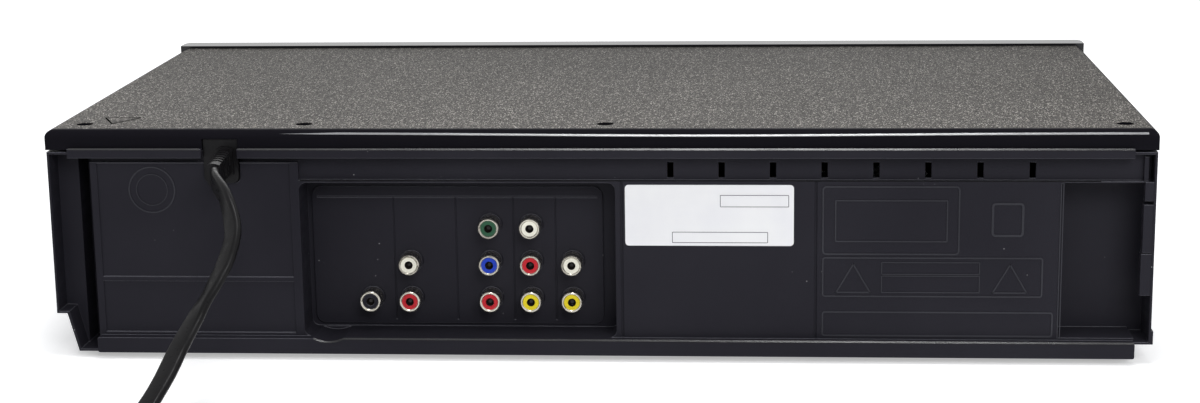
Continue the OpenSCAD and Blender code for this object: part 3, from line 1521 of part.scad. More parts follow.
chassis();
top_cover();
front_panel();
cover_screws();
feet();
cassette_door();
door_spring();
display_window();
front_boards();
power_button();
rewind_button();
play_button();
forward_button();
record_button();
eject_button();
disc_play_button();
disc_stop_button();
disc_open_button();
jack_base();
jack_shells();
jack_inserts_white();
jack_inserts_red();
jack_insert_green();
jack_insert_blue();
jack_inserts_yellow();
video_out_shell();
jack_board();
cord_boot();
cord();
cord_coil();
plug();
main_board();
power_board();
transformer();
deck_plate();
carriage_frame();
basket_sliders();
cassette_basket();
supply_reel();
take_up_reel();
lower_drum();
upper_drum();
capstan();
pinch_arm();
pinch_roller();
tape_guides();
loader_base();
disc_tray();
tray_rack();
tray_fascia();
tray_pinion();
traverse_deck();
turntable();
pickup_sled();
guide_rods();
clamp_bridge();
clamp_puck();
loading_motor();
motor_pulley();
drive_belt();
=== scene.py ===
# %% [markdown]
# # Dressing a player for discs and cassettes
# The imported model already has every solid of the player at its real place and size. This lesson leaves
# those solids where they are, gives each of them a finish, and adds the small things that a solid model
# leaves out: the flex of the mains cord, moulded lines, bare marks and plates, beads along the edges.
# One Blender unit is one metre. The case stands on z = 0 and its front panel faces -Y.

# %% Load the frame
import bmesh
import bpy
import math
from mathutils import Matrix, Vector


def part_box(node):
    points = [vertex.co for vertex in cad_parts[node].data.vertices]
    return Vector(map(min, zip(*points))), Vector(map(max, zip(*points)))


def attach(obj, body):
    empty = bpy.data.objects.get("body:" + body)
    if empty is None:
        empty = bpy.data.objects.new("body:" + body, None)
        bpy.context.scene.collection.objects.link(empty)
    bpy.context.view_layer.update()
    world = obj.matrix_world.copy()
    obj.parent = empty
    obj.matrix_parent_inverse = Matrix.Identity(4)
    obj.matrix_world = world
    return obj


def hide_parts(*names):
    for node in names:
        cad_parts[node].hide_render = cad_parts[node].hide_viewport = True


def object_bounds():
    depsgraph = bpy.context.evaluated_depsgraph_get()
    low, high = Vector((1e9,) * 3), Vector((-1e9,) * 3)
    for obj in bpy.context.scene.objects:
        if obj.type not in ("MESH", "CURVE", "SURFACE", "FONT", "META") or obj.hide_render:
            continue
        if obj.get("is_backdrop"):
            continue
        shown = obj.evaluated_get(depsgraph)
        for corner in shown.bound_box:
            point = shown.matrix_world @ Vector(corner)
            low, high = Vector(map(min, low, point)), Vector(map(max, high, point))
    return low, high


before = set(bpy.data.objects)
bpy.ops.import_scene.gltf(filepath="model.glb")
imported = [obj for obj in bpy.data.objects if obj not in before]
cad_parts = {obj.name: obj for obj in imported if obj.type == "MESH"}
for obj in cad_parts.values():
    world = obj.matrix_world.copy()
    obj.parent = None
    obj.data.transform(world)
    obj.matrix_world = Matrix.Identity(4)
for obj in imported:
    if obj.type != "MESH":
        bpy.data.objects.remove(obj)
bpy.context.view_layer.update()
MM = 0.001

# %% [markdown]
# ## The camera
# A camera needs a place, a direction and a focal length. It could be aimed with a Track To constraint,
# but a constraint keeps the horizon level, and this one is rolled by almost a degree. So its three axes
# are written out: forward from two angles, right level with the floor, and up square to both.

# %% Camera
eye = (-0.06582, 0.96215, 0.25024)
turn, tip, roll = -0.0743358, 0.2156286, -0.0141346
forward = Vector((-math.sin(turn) * math.cos(tip), -math.cos(turn) * math.cos(tip), -math.sin(tip)))
level = Vector((-math.cos(turn), math.sin(turn), 0))
above = level.cross(forward)
right = level * math.cos(roll) + above * math.sin(roll)
up = above * math.cos(roll) - level * math.sin(roll)
camera = bpy.data.objects.new("camera", bpy.data.cameras.new("camera"))
bpy.context.scene.collection.objects.link(camera)
camera.data.lens, camera.data.sensor_width = 67.09, 36
camera.data.sensor_fit = "HORIZONTAL"
camera.data.clip_start, camera.data.clip_end = 0.02, 60
axes = Matrix([[right[i], up[i], -forward[i]] for i in range(3)])
camera.matrix_world = Matrix.Translation(eye) @ axes.to_4x4()
bpy.context.scene.camera = camera
print("camera at", eye)

# %% [markdown]
# ## Helpers for pieces
# Every piece is shaped in a bmesh, which is Blender's mesh kit without the editor. A helper turns it
# into an object, sets it to smooth shading up to a given angle, and lets it ride on a body of the model.
# Three more helpers hold the moves that come back in many pieces: to thin a face to a frame, to push
# faces out into a solid, and to spin an outline round an axis that runs from front to rear.

# %% Piece helper
def make_piece(name, bm, finish, body="case", smooth=35):
    bmesh.ops.recalc_face_normals(bm, faces=bm.faces)
    mesh = bpy.data.meshes.new(name)
    bm.to_mesh(mesh)
    bm.free()
    mesh.materials.append(finish)
    for face in mesh.polygons:
        face.use_smooth = True
    mesh.set_sharp_from_angle(angle=math.radians(smooth))
    piece = bpy.data.objects.new(name, mesh)
    bpy.context.scene.collection.objects.link(piece)
    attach(piece, body)
    print("made", name, "with", len(mesh.polygons), "faces")
    return piece


# %% Frame, push and spin
def thin_frame(bm, width):
    rim = bmesh.ops.inset_region(bm, faces=list(bm.faces), thickness=width, depth=0, use_boundary=True,
                                 use_even_offset=True)["faces"]
    bmesh.ops.delete(bm, geom=[f for f in bm.faces if f not in rim], context="FACES")


def push_out(bm, faces, shift):
    grown = bmesh.ops.extrude_face_region(bm, geom=faces)["geom"]
    bmesh.ops.translate(bm, vec=shift, verts=[g for g in grown if isinstance(g, bmesh.types.BMVert)])
    return [g for g in grown if isinstance(g, bmesh.types.BMFace)]


def spin_round(bm, points, centre, steps, closed=False):
    chain = [bm.verts.new(Vector(point) * MM) for point in points]
    edges = [bm.edges.new(pair) for pair in zip(chain, chain[1:] + chain[:1] if closed else chain[1:])]
    bmesh.ops.spin(bm, geom=chain + edges, cent=Vector(centre) * MM, axis=(0, 1, 0), angle=2 * math.pi,
                   steps=steps, use_merge=True, use_duplicate=False)


# %% [markdown]
# ## Helpers for finishes
# A finish is a small tree of nodes on the Principled shader. All of them start from Object coordinates,
# which are metres here, so a noise of scale 1000 has grains of about a millimetre. Image textures would
# need files and a UV map, while noises stay sharp from any distance and need neither. A Mix node has its
# sockets for colours behind those for numbers and vectors, so they are reached by their place in the row.

# %% Finish helpers
def start_finish(name, colour, rough, metal=0.0):
    finish = bpy.data.materials.new(name)
    finish.use_nodes = True
    tree = finish.node_tree
    shader = tree.nodes["Principled BSDF"]
    shader.inputs["Base Color"].default_value = (*colour, 1)
    shader.inputs["Roughness"].default_value = rough
    shader.inputs["Metallic"].default_value = metal
    place = tree.nodes.new("ShaderNodeTexCoord").outputs["Object"]
    return finish, tree, shader, place


def stretched(tree, place, scale):
    node = tree.nodes.new("ShaderNodeMapping")
    node.inputs["Scale"].default_value = scale
    tree.links.new(place, node.inputs["Vector"])
    return node.outputs["Vector"]


def noise(tree, place, scale, detail=2.0, rough=0.5):
    node = tree.nodes.new("ShaderNodeTexNoise")
    node.inputs["Scale"].default_value = scale
    node.inputs["Detail"].default_value = detail
    node.inputs["Roughness"].default_value = rough
    tree.links.new(place, node.inputs["Vector"])
    return node.outputs["Fac"]


def cells(tree, place, scale, output="Color"):
    node = tree.nodes.new("ShaderNodeTexVoronoi")
    node.inputs["Scale"].default_value = scale
    tree.links.new(place, node.inputs["Vector"])
    return node.outputs[output]


def ramp(tree, value, *stops, hard=False):
    node = tree.nodes.new("ShaderNodeValToRGB")
    if hard:
        node.color_ramp.interpolation = "CONSTANT"
    while len(node.color_ramp.elements) < len(stops):
        node.color_ramp.elements.new(0.5)
    for element, (at, colour) in zip(node.color_ramp.elements, stops):
        element.position = at
        element.color = (*colour, 1) if hasattr(colour, "__len__") else (colour, colour, colour, 1)
    tree.links.new(value, node.inputs["Fac"])
    return node.outputs["Color"]


MIX_FACTOR, MIX_A, MIX_B, MIX_RESULT = 0, 6, 7, 2


def mixed(tree, factor, a, b, how="MIX"):
    node = tree.nodes.new("ShaderNodeMix")
    node.data_type = "RGBA"
    node.blend_type = how
    for at, value in ((MIX_FACTOR, factor), (MIX_A, a), (MIX_B, b)):
        if isinstance(value, bpy.types.NodeSocket):
            tree.links.new(value, node.inputs[at])
        else:
            node.inputs[at].default_value = (*value, 1) if hasattr(value, "__len__") else value
    return node.outputs[MIX_RESULT]


def relief(tree, shader, height, depth, strength, under=None):
    node = tree.nodes.new("ShaderNodeBump")
    node.inputs["Strength"].default_value = strength
    node.inputs["Distance"].default_value = depth
    tree.links.new(height, node.inputs["Height"])
    if under is not None:
        tree.links.new(under, node.inputs["Normal"])
    tree.links.new(node.outputs["Normal"], shader.inputs["Normal"])


def higher_than(tree, value, limit):
    node = tree.nodes.new("ShaderNodeMath")
    node.operation = "GREATER_THAN"
    node.inputs[1].default_value = limit
    tree.links.new(value, node.inputs[0])
    return node.outputs[0]


# %% Helpers for edges
def soft_edges(tree, radius):
    node = tree.nodes.new("ShaderNodeBevel")
    node.samples = 6
    node.inputs["Radius"].default_value = radius
    return node.outputs["Normal"]


# Mask of the edges whose turned normal tilts up: where the painted highlight goes.
def upward_edge_highlight(tree, soft):
    turned = tree.nodes.new("ShaderNodeVectorMath")
    turned.operation = "SUBTRACT"
    tree.links.new(soft, turned.inputs[0])
    tree.links.new(tree.nodes.new("ShaderNodeNewGeometry").outputs["True Normal"], turned.inputs[1])
    split = tree.nodes.new("ShaderNodeSeparateXYZ")
    tree.links.new(turned.outputs["Vector"], split.inputs["Vector"])
    half = tree.nodes.new("ShaderNodeMath")
    half.operation = "MULTIPLY_ADD"
    half.inputs[1].default_value = half.inputs[2].default_value = 0.5
    tree.links.new(split.outputs["Z"], half.inputs[0])
    return ramp(tree, half.outputs[0], (0.25, 0.5), (0.45, 0.0), (0.55, 0.0), (0.75, 1.0))


# %% [markdown]
# ## Black moulding
# The tub and the connector panel are one moulding of black plastic with a fine spark-eroded grain. Up
# close it isn't one black: the grain breaks up the light, the tone drifts over a hand's width, and a
# few specks of dust stick to it. One noise gives the grain, one the drift and one cuts out the specks.
# A moulded edge is never sharp, and its rounding draws a thin line of light. Bevelling every edge of the solid
# would do it with many faces. The Bevel node only turns the normals near an edge, and that is all that shows at
# a radius of half a millimetre. Where the turned normal tilts up from the true one, the colour is also painted
# a paler grey, most where the edge looks up: a painted highlight for the light from above.

# %% Black moulding
# dust_grey is real dust on the moulding; edge_highlight_grey is a painted highlight on its upper edges.
dust_grey, edge_highlight_grey = (0.34, 0.34, 0.35), (0.145, 0.145, 0.165)
drift_scale, speck_scale, patch_scale, streak_scale = 14, 260, 37, 70


def moulded(name, dark, pale, rough, grain=2600, depth=0.00006, specks=0.0, gloss=0.3, edge=0.0):
    finish, tree, shader, place = start_finish(name, dark, rough)
    shader.inputs["Specular IOR Level"].default_value = gloss
    tone = ramp(tree, noise(tree, place, drift_scale, 3), (0.3, dark), (0.7, pale))
    if specks:
        spot = ramp(tree, cells(tree, place, speck_scale, "Distance"), (0.05, 1.0), (0.075, 0.0))
        some = ramp(tree, noise(tree, place, patch_scale, 2), (0.6, 0.0), (0.66, specks))
        dust = mixed(tree, 1.0, spot, some, "MULTIPLY")
        tone = mixed(tree, dust, tone, dust_grey)
    soft = soft_edges(tree, edge) if edge else None
    if edge:
        # Upper edges painted paler: a painted highlight.
        tone = mixed(tree, upward_edge_highlight(tree, soft), tone, edge_highlight_grey)
    tree.links.new(tone, shader.inputs["Base Color"])
    streaks = noise(tree, stretched(tree, place, (1, 1, 3)), streak_scale, 4)
    wear = ramp(tree, streaks, (0.35, rough - 0.05), (0.7, rough + 0.07))
    tree.links.new(wear, shader.inputs["Roughness"])
    relief(tree, shader, noise(tree, place, grain, 2), depth, 0.7, soft)
    return finish


black_moulding = moulded("black_moulding", (0.016, 0.0153, 0.0205), (0.0215, 0.0208, 0.027), 0.4,
                         specks=0.85, gloss=0.06, edge=0.00045)
# Ridges are painted paler than the panel: a painted highlight for the light their edges catch.
ridge_highlight_moulding = moulded("ridge_highlight_moulding", (0.028, 0.028, 0.034), (0.044, 0.044, 0.052), 0.4, gloss=0.1)
# Pale grey of the cover's bead: a painted highlight on black plastic.
bead_painted_highlight = moulded("bead_painted_highlight", (0.2, 0.2, 0.21), (0.3, 0.3, 0.31), 0.18, gloss=0.85)
rail_gloss = moulded("rail_gloss", (0.009, 0.009, 0.0105), (0.013, 0.013, 0.015), 0.24, gloss=0.5)
print("black moulding and its ridges ready")

# %% Relatives of the moulding
tray_moulding = moulded("tray_moulding", (0.016, 0.016, 0.018), (0.022, 0.022, 0.024), 0.42)
button_moulding = moulded("button_moulding", (0.02, 0.02, 0.022), (0.028, 0.028, 0.03), 0.3, 3200, 0.00003)
dark_acetal = moulded("dark_acetal", (0.02, 0.02, 0.023), (0.034, 0.034, 0.038), 0.35, 900, 0.00002)
white_acetal = moulded("white_acetal", (0.62, 0.62, 0.59), (0.7, 0.7, 0.67), 0.38, 900, 0.00002)
black_screw = moulded("black_screw", (0.004, 0.004, 0.0042), (0.006, 0.006, 0.0063), 0.4, 800, 0.00002,
                      gloss=0.1)
scored_mark = moulded("scored_mark", (0.002, 0.002, 0.002), (0.004, 0.004, 0.004), 0.6, gloss=0.0)
rubber_foot = moulded("rubber_foot", (0.014, 0.014, 0.014), (0.03, 0.03, 0.029), 0.75, 1500, 0.0001)
print("acetals, screws, mark and rubber feet ready")

# %% [markdown]
# ## Speckled cover
# The top of the steel cover is painted with a grey and black speckle, a grainy coat in which some flakes catch
# the light. Voronoi cells about half a millimetre wide each get a tone of their own, a finer noise breaks their
# edges, and a third one tilts the surface a little. The colour is painted darker towards the front, a painted
# shade for the light that falls stronger on the rear of the top. The skirt and the last few millimetres at the
# rear are plain satin black, so the finish asks for the height and the depth of a place before it paints it.
# Seen at a low angle even matt paint turns into a mirror on a shader, so its specular level is almost nothing.

# %% Speckled cover
flake_scale, fine_scale, tilt_scale = 2500, 3200, 1500
# Painted shade from front to rear: the paint is darker towards the front.
front_shade_slope, front_shade_middle, front_shade_level = 4.4, 0.5, 0.56
paint_from_z, paint_to_y = 0.09225, 0.1108
satin_black = (0.008, 0.0075, 0.01)


def speckled(name):
    finish, tree, shader, place = start_finish(name, (0.1, 0.1, 0.1), 0.5)
    shader.inputs["Specular IOR Level"].default_value = 0.008
    flat = stretched(tree, place, (1, 0.5, 0.3))
    flake = ramp(tree, cells(tree, flat, flake_scale), (0.0, (0.003, 0.003, 0.003)),
                 (0.46, (0.02, 0.0185, 0.0165)), (0.64, (0.14, 0.13, 0.119)), (0.79, (0.7, 0.655, 0.6)),
                 hard=True)
    fine = ramp(tree, noise(tree, flat, fine_scale, 3, 0.75), (0.46, (0.004, 0.0037, 0.0034)),
                (0.56, (0.27, 0.252, 0.23)))
    tone = mixed(tree, 0.5, flake, fine)
    split = tree.nodes.new("ShaderNodeSeparateXYZ")
    tree.links.new(place, split.inputs["Vector"])
    # Depth fed to a ramp that paints the top darker towards the front: painted shade.
    shade_position = tree.nodes.new("ShaderNodeMath")
    shade_position.operation = "MULTIPLY_ADD"
    shade_position.inputs[1].default_value, shade_position.inputs[2].default_value = front_shade_slope, front_shade_middle
    tree.links.new(split.outputs["Y"], shade_position.inputs[0])
    front_shade = ramp(tree, shade_position.outputs[0], (0.0, front_shade_level), (1.0, 1.0))
    drift = ramp(tree, noise(tree, place, 9, 3), (0.3, 0.88), (0.7, 1.06))
    paint = mixed(tree, 1.0, mixed(tree, 1.0, tone, drift, "MULTIPLY"), front_shade, "MULTIPLY")
    painted = tree.nodes.new("ShaderNodeMath")
    painted.operation = "SUBTRACT"
    painted.use_clamp = True
    tree.links.new(higher_than(tree, split.outputs["Z"], paint_from_z), painted.inputs[0])
    tree.links.new(higher_than(tree, split.outputs["Y"], paint_to_y), painted.inputs[1])
    tree.links.new(mixed(tree, painted.outputs[0], satin_black, paint), shader.inputs["Base Color"])
    tree.links.new(ramp(tree, noise(tree, flat, 800, 2), (0.3, 0.34), (0.7, 0.5)), shader.inputs["Roughness"])
    grain = mixed(tree, 1.0, noise(tree, flat, tilt_scale, 3, 0.65), painted.outputs[0], "MULTIPLY")
    relief(tree, shader, grain, 0.0002, 0.55, soft_edges(tree, 0.0004))
    return finish


speckled_cover = speckled("speckled_cover")
print("speckled cover ready")

# %% [markdown]
# ## Metals, glossy parts and boards
# Metals are one shader with Metallic at 1 and a roughness that varies: long scratches for drawn wire,
# cells for the spangle of zinc, rings for turned alloy. Glossy plastic has almost no relief, so only
# a slow waviness and a little dust show that it is real. Boards get copper tracks from a brick pattern,
# and so do the windings of the transformer, where the bricks are the turns.

# %% Metals
def metal(name, colour, low, high, scale, stretch=(1, 1, 1), spangle=0.0):
    finish, tree, shader, place = start_finish(name, colour, low, 1.0)
    along = stretched(tree, place, stretch)
    tone = ramp(tree, noise(tree, along, scale, 3), (0.3, [c * 0.86 for c in colour]), (0.7, colour))
    if spangle:
        patch = ramp(tree, cells(tree, place, spangle), (0.1, 0.8), (0.9, 1.0))
        tone = mixed(tree, 1.0, tone, patch, "MULTIPLY")
    tree.links.new(tone, shader.inputs["Base Color"])
    drawn = ramp(tree, noise(tree, along, scale * 2, 4), (0.3, low), (0.7, high))
    tree.links.new(drawn, shader.inputs["Roughness"])
    relief(tree, shader, noise(tree, along, scale * 3, 2), 0.00003, 0.4)
    return finish


nickel = metal("nickel_shell", (0.6, 0.57, 0.5), 0.14, 0.3, 500)
bright_steel = metal("bright_steel", (0.6, 0.6, 0.61), 0.2, 0.36, 300, (1, 1, 0.05))
zinc_sheet = metal("zinc_sheet", (0.55, 0.56, 0.58), 0.3, 0.45, 120, spangle=160)
turned_alloy = metal("turned_alloy", (0.74, 0.74, 0.75), 0.2, 0.34, 90, (1, 1, 30))
print("metals ready")


# %% Glossy plastic
wave_scale, mote_scale, mote_patches, wipe_scale, swell_scale = 20, 210, 45, 26, 60


def glossy(name, colour, rough, clear=0.0, gloss=0.3):
    finish, tree, shader, place = start_finish(name, colour, rough)
    shader.inputs["Specular IOR Level"].default_value = gloss
    pale = [c * 1.35 + 0.001 for c in colour]
    tone = ramp(tree, noise(tree, place, wave_scale, 3), (0.3, colour), (0.7, pale))
    spot = ramp(tree, cells(tree, place, mote_scale, "Distance"), (0.04, 1.0), (0.06, 0.0))
    some = ramp(tree, noise(tree, place, mote_patches, 2), (0.62, 0.0), (0.7, 0.6))
    dust = mixed(tree, 1.0, spot, some, "MULTIPLY")
    tree.links.new(mixed(tree, dust, tone, (0.3, 0.3, 0.3)), shader.inputs["Base Color"])
    wipes = noise(tree, stretched(tree, place, (1, 1, 4)), wipe_scale, 4)
    tree.links.new(ramp(tree, wipes, (0.4, rough), (0.75, rough + 0.1)), shader.inputs["Roughness"])
    relief(tree, shader, noise(tree, place, swell_scale, 2), 0.00008, 0.25)
    if clear:
        shader.inputs["Transmission Weight"].default_value = clear
    return finish


gloss_panel = glossy("gloss_panel", (0.007, 0.007, 0.008), 0.07)
smoked_window = glossy("smoked_window", (0.05, 0.045, 0.05), 0.04, 0.55)
white_insert = glossy("white_insert", (0.74, 0.72, 0.62), 0.3)
red_insert = glossy("red_insert", (0.43, 0.008, 0.016), 0.3)
green_insert = glossy("green_insert", (0.014, 0.07, 0.034), 0.3)
blue_insert = glossy("blue_insert", (0.006, 0.034, 0.36), 0.3)
yellow_insert = glossy("yellow_insert", (0.72, 0.58, 0.008), 0.3)
contact_dark = glossy("contact_dark", (0.007, 0.0055, 0.005), 0.25)
printed_mark = glossy("printed_mark", (0.42, 0.42, 0.43), 0.4)
print("glossy plastics ready")


# %% Boards and windings
tracks_scale, pads_scale, solder = 140, 330, (0.6, 0.6, 0.56)


def board(name, laminate, track):
    finish, tree, shader, place = start_finish(name, laminate, 0.4)
    brick = tree.nodes.new("ShaderNodeTexBrick")
    track_row = (("Scale", tracks_scale), ("Mortar Size", 0.035), ("Mortar Smooth", 0.2), ("Bias", 0.0))
    for socket, value in track_row:
        brick.inputs[socket].default_value = value
    brick.inputs["Color1"].default_value = (*laminate, 1)
    brick.inputs["Color2"].default_value = (*[c * 0.8 for c in laminate], 1)
    brick.inputs["Mortar"].default_value = (*track, 1)
    tree.links.new(place, brick.inputs["Vector"])
    pads = ramp(tree, cells(tree, place, pads_scale, "Distance"), (0.12, 1.0), (0.16, 0.0))
    tree.links.new(mixed(tree, pads, brick.outputs["Color"], solder), shader.inputs["Base Color"])
    tree.links.new(ramp(tree, noise(tree, place, 300, 2), (0.3, 0.3), (0.7, 0.5)), shader.inputs["Roughness"])
    relief(tree, shader, brick.outputs["Fac"], 0.0001, 0.6)
    return finish


circuit_board = board("circuit_board", (0.22, 0.15, 0.05), (0.3, 0.2, 0.06))
wound_core = board("wound_core", (0.34, 0.25, 0.07), (0.2, 0.14, 0.05))
print("boards ready")

# %% [markdown]
# ## Rubber of the cord
# A mains lead of this age is soft black vinyl with a dull shine and a fine lengthwise drag from the
# die. The shine has to run along the flex in one thin line, so the roughness and the specular level stay
# fairly low and the relief very shallow.

# %% Cord rubber
def vinyl(name, colour, rough, gloss):
    finish, tree, shader, place = start_finish(name, colour, rough)
    shader.inputs["Specular IOR Level"].default_value = gloss
    tone = ramp(tree, noise(tree, place, 120, 3), (0.3, colour), (0.7, [c * 1.7 for c in colour]))
    tree.links.new(tone, shader.inputs["Base Color"])
    drag = ramp(tree, noise(tree, place, 420, 3), (0.3, rough - 0.06), (0.7, rough + 0.1))
    tree.links.new(drag, shader.inputs["Roughness"])
    relief(tree, shader, noise(tree, place, 1700, 3), 0.00005, 0.5)
    return finish


black_rubber = vinyl("black_rubber", (0.0055, 0.0053, 0.0058), 0.3, 0.11)
print("cord rubber ready")

# %% [markdown]
# ## The mains cord
# The lead is a flat flex of two cores, 7.8 by 3.4 mm and 1.6 m long. It leaves the boot, sags to the
# floor, runs out of view and is wound there in two flat layers, as it is put away, with the plug
# beside it. It is drawn as a route of points with the turn of its flat side, then one small ring of
# points is pushed along that route. Blender's curve bevel could do this too, but it turns a flat
# profile by its own rules, and here the flat side has to stand on edge in the coil. Lengths in the route
# are millimetres. In the falling part each height is a share of the boot's own height.

# %% Route of the cord
boot_x, boot_z, cover_y, rest_z = 144.5, 79.8, 115.0, 4.2
coil_x, coil_y, coil_r, coil_build = 112.5, 275.0, 40.0, 9.2
lead = [
    (0, 13, 0.988, -90), (-0.5, 19, 0.98, -90), (-2.9, 26.7, 0.964, -88), (-9, 37.3, 0.906, -78),
    (-13.6, 48, 0.778, -42), (-12.4, 55.9, 0.658, -12), (-8.5, 60.7, 0.546, 0), (-2.8, 64.7, 0.413, 0),
    (2.4, 73.5, 0.277, 0), (5.2, 85.9, 0.171, 0), (9.2, 97.1, 0.069, 5), (12, 109.7, 0.01, 30),
    (12.6, 123.2, 0, 65), (12.5, 137, 0, 90), (11.5, 151, 0, 90)]
route = [(boot_x + x, cover_y + y, rest_z + f * (boot_z - rest_z), a) for x, y, f, a in lead]
turns, climb, layer, per_turn = 5.5, 0.3, 7.8, 16
for i in range(1, int(turns * per_turn)):
    t = i / per_turn
    inward = min(t / ((turns - climb) / 2), 1)
    outward = max((t - (turns + climb) / 2) / ((turns - climb) / 2), 0)
    r = coil_r + coil_build / 2 - coil_build * inward + coil_build * outward
    lift = min(max((t - (turns - climb) / 2) / climb, 0), 1)
    lift = lift * lift * (3 - 2 * lift)
    a = 2 * math.pi * t
    route.append((coil_x + r * math.cos(a), coil_y + r * math.sin(a), rest_z + layer * lift, 90))
to_plug = [
    (-44.6, 0, 12, 90), (-46.3, -10.5, 11.2, 90), (-51.2, -20, 9.4, 75), (-59.8, -27, 7, 45),
    (-70.4, -30.2, 5.6, 15), (-79, -30.2, 5.8, 2), (-86, -30, 6.2, 0)]
route += [(coil_x + x, coil_y + y, z, a) for x, y, z, a in to_plug]
print("route of", len(route), "points")


# %% One smooth line through the points
def smooth_line(points, parts):
    line = []
    for i in range(len(points) - 1):
        p0, p1, p2, p3 = (Vector(points[max(0, min(len(points) - 1, k))]) for k in (i - 1, i, i + 1, i + 2))
        for k in range(parts):
            t = k / parts
            line.append((p1 * 2 + (p2 - p0) * t + (p0 * 2 - p1 * 5 + p2 * 4 - p3) * t * t
                         + (p1 * 3 - p0 - p2 * 3 + p3) * t ** 3) / 2)
    return line + [Vector(points[-1])]


for_tube = smooth_line([Vector(p) for p in route], 5)
middle = [Vector(p[:3]) * MM for p in for_tube]


# %% Flat flex pushed along the line
def ring_place(i):
    ahead = (middle[min(i + 1, len(middle) - 1)] - middle[max(i - 1, 0)]).normalized()
    across = Vector((ahead.y, -ahead.x, 0)).normalized()
    over = across.cross(ahead)
    a = math.radians(for_tube[i][3])
    wide = across * math.cos(a) + over * math.sin(a)
    thin = wide.cross(ahead)
    return Matrix.Translation(middle[i]) @ Matrix([[wide[k], thin[k], ahead[k]] for k in range(3)]).to_4x4()


core_r, core_apart = 1.7 * MM, 2.2 * MM
bm = bmesh.new()
ring = bmesh.ops.create_circle(bm, cap_ends=False, segments=22, radius=core_r)["verts"]
for v in ring:
    v.co.x += core_apart if v.co.x > 0 else -core_apart
bmesh.ops.transform(bm, matrix=ring_place(0), verts=ring)
front = list(bm.edges)
bmesh.ops.contextual_create(bm, geom=front)
for i in range(1, len(middle)):
    grown = bmesh.ops.extrude_edge_only(bm, edges=front)["geom"]
    moved = [g for g in grown if isinstance(g, bmesh.types.BMVert)]
    front = [g for g in grown if isinstance(g, bmesh.types.BMEdge)]
    bmesh.ops.transform(bm, matrix=ring_place(i) @ ring_place(i - 1).inverted(), verts=moved)
bmesh.ops.contextual_create(bm, geom=front)
flex = make_piece("flex", bm, black_rubber, smooth=50)
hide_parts("cord", "cord_coil")

# %% [markdown]
# ## Tie round the coil
# A wound lead springs open unless something holds it. Here it is a wire tie in a thin sleeve, wrapped
# once round the bundle with its two ends sticking out. The bundle is nearly square there, so the wrap is
# a face with rounded corners, thinned to a frame and pushed out by the tie's width. It is drawn in
# millimetres beside the coil's middle, then turned and scaled into place.

# %% Tie
tie_wide, tie_thick, tie_turn = 4, 0.35, 118
end_x, end_z, end_r, end_long = 52, 8.8, 0.5, 11
bm = bmesh.new()
bm.faces.new([bm.verts.new((x, 0, z)) for x, z in ((33.2, 0.1), (46.8, 0.1), (46.8, 16.3), (33.2, 16.3))])
bmesh.ops.bevel(bm, geom=list(bm.verts), offset=2.4, segments=5, profile=0.5, affect="VERTICES", material=-1)
thin_frame(bm, tie_thick)
push_out(bm, list(bm.faces), (0, tie_wide, 0))
for k in range(2):
    lean = Matrix.Rotation(math.radians(80 + 16 * k), 4, "Y")
    bmesh.ops.create_cone(bm, cap_ends=True, segments=8, radius1=end_r, radius2=end_r, depth=end_long,
                          matrix=Matrix.Translation((end_x, 1.55 + 0.9 * k, end_z)) @ lean)
to_coil = Matrix.Translation(Vector((coil_x, coil_y, 0)) * MM) @ Matrix.Rotation(math.radians(tie_turn), 4, "Z")
bmesh.ops.transform(bm, matrix=to_coil @ Matrix.Scale(MM, 4), verts=list(bm.verts))
tie = make_piece("cord_tie", bm, black_rubber)

# %% Cord done
print("cord done")

# %% [markdown]
# ## Finishes for the solids
# Each solid of the frame gets its finish by name. The plug is one solid of rubber and brass blades, so
# its finish looks at the X coordinate: beyond the end of the body it is metal.

# %% Plug finish
blades_end, brass = 0.00245, (0.62, 0.56, 0.4)
plug_finish, tree, shader, place = start_finish("plug_finish", (0.01, 0.01, 0.0105), 0.4)
shader.inputs["Specular IOR Level"].default_value = 0.2
split = tree.nodes.new("ShaderNodeSeparateXYZ")
tree.links.new(place, split.inputs["Vector"])
blade = tree.nodes.new("ShaderNodeMath")
blade.operation = "LESS_THAN"
blade.inputs[1].default_value = blades_end
tree.links.new(split.outputs["X"], blade.inputs[0])
tone = ramp(tree, noise(tree, place, 300, 3), (0.3, (0.009, 0.009, 0.0095)), (0.7, (0.015, 0.015, 0.016)))
tree.links.new(mixed(tree, blade.outputs[0], tone, brass), shader.inputs["Base Color"])
tree.links.new(blade.outputs[0], shader.inputs["Metallic"])
relief(tree, shader, noise(tree, place, 1700, 3), 0.00005, 0.4)
print("plug finish ready")

# %% Finish of every solid
WEARS = {
    black_moulding: ["chassis", "jack_base"],
    speckled_cover: ["top_cover"],
    gloss_panel: ["front_panel", "cassette_door", "tray_fascia"],
    smoked_window: ["display_window"],
    black_screw: ["cover_screws"],
    rubber_foot: ["feet"],
    button_moulding: [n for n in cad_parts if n.endswith("_button")],
    nickel: ["jack_shells", "video_out_shell"],
    white_insert: ["jack_inserts_white"],
    red_insert: ["jack_inserts_red"],
    green_insert: ["jack_insert_green"],
    blue_insert: ["jack_insert_blue"],
    yellow_insert: ["jack_inserts_yellow"],
    black_rubber: ["cord_boot", "cord", "cord_coil", "pinch_roller", "drive_belt"],
    plug_finish: ["plug"],
    circuit_board: ["front_boards", "jack_board", "main_board", "power_board"],
    wound_core: ["transformer"],
    zinc_sheet: ["deck_plate", "carriage_frame", "cassette_basket", "pinch_arm", "traverse_deck",
                 "clamp_bridge", "loading_motor"],
    turned_alloy: ["lower_drum", "upper_drum"],
    bright_steel: ["capstan", "tape_guides", "guide_rods", "door_spring"],
    dark_acetal: ["basket_sliders", "loader_base", "turntable", "pickup_sled"],
    white_acetal: ["supply_reel", "take_up_reel", "tray_rack", "tray_pinion", "clamp_puck", "motor_pulley"],
    tray_moulding: ["disc_tray"],
}
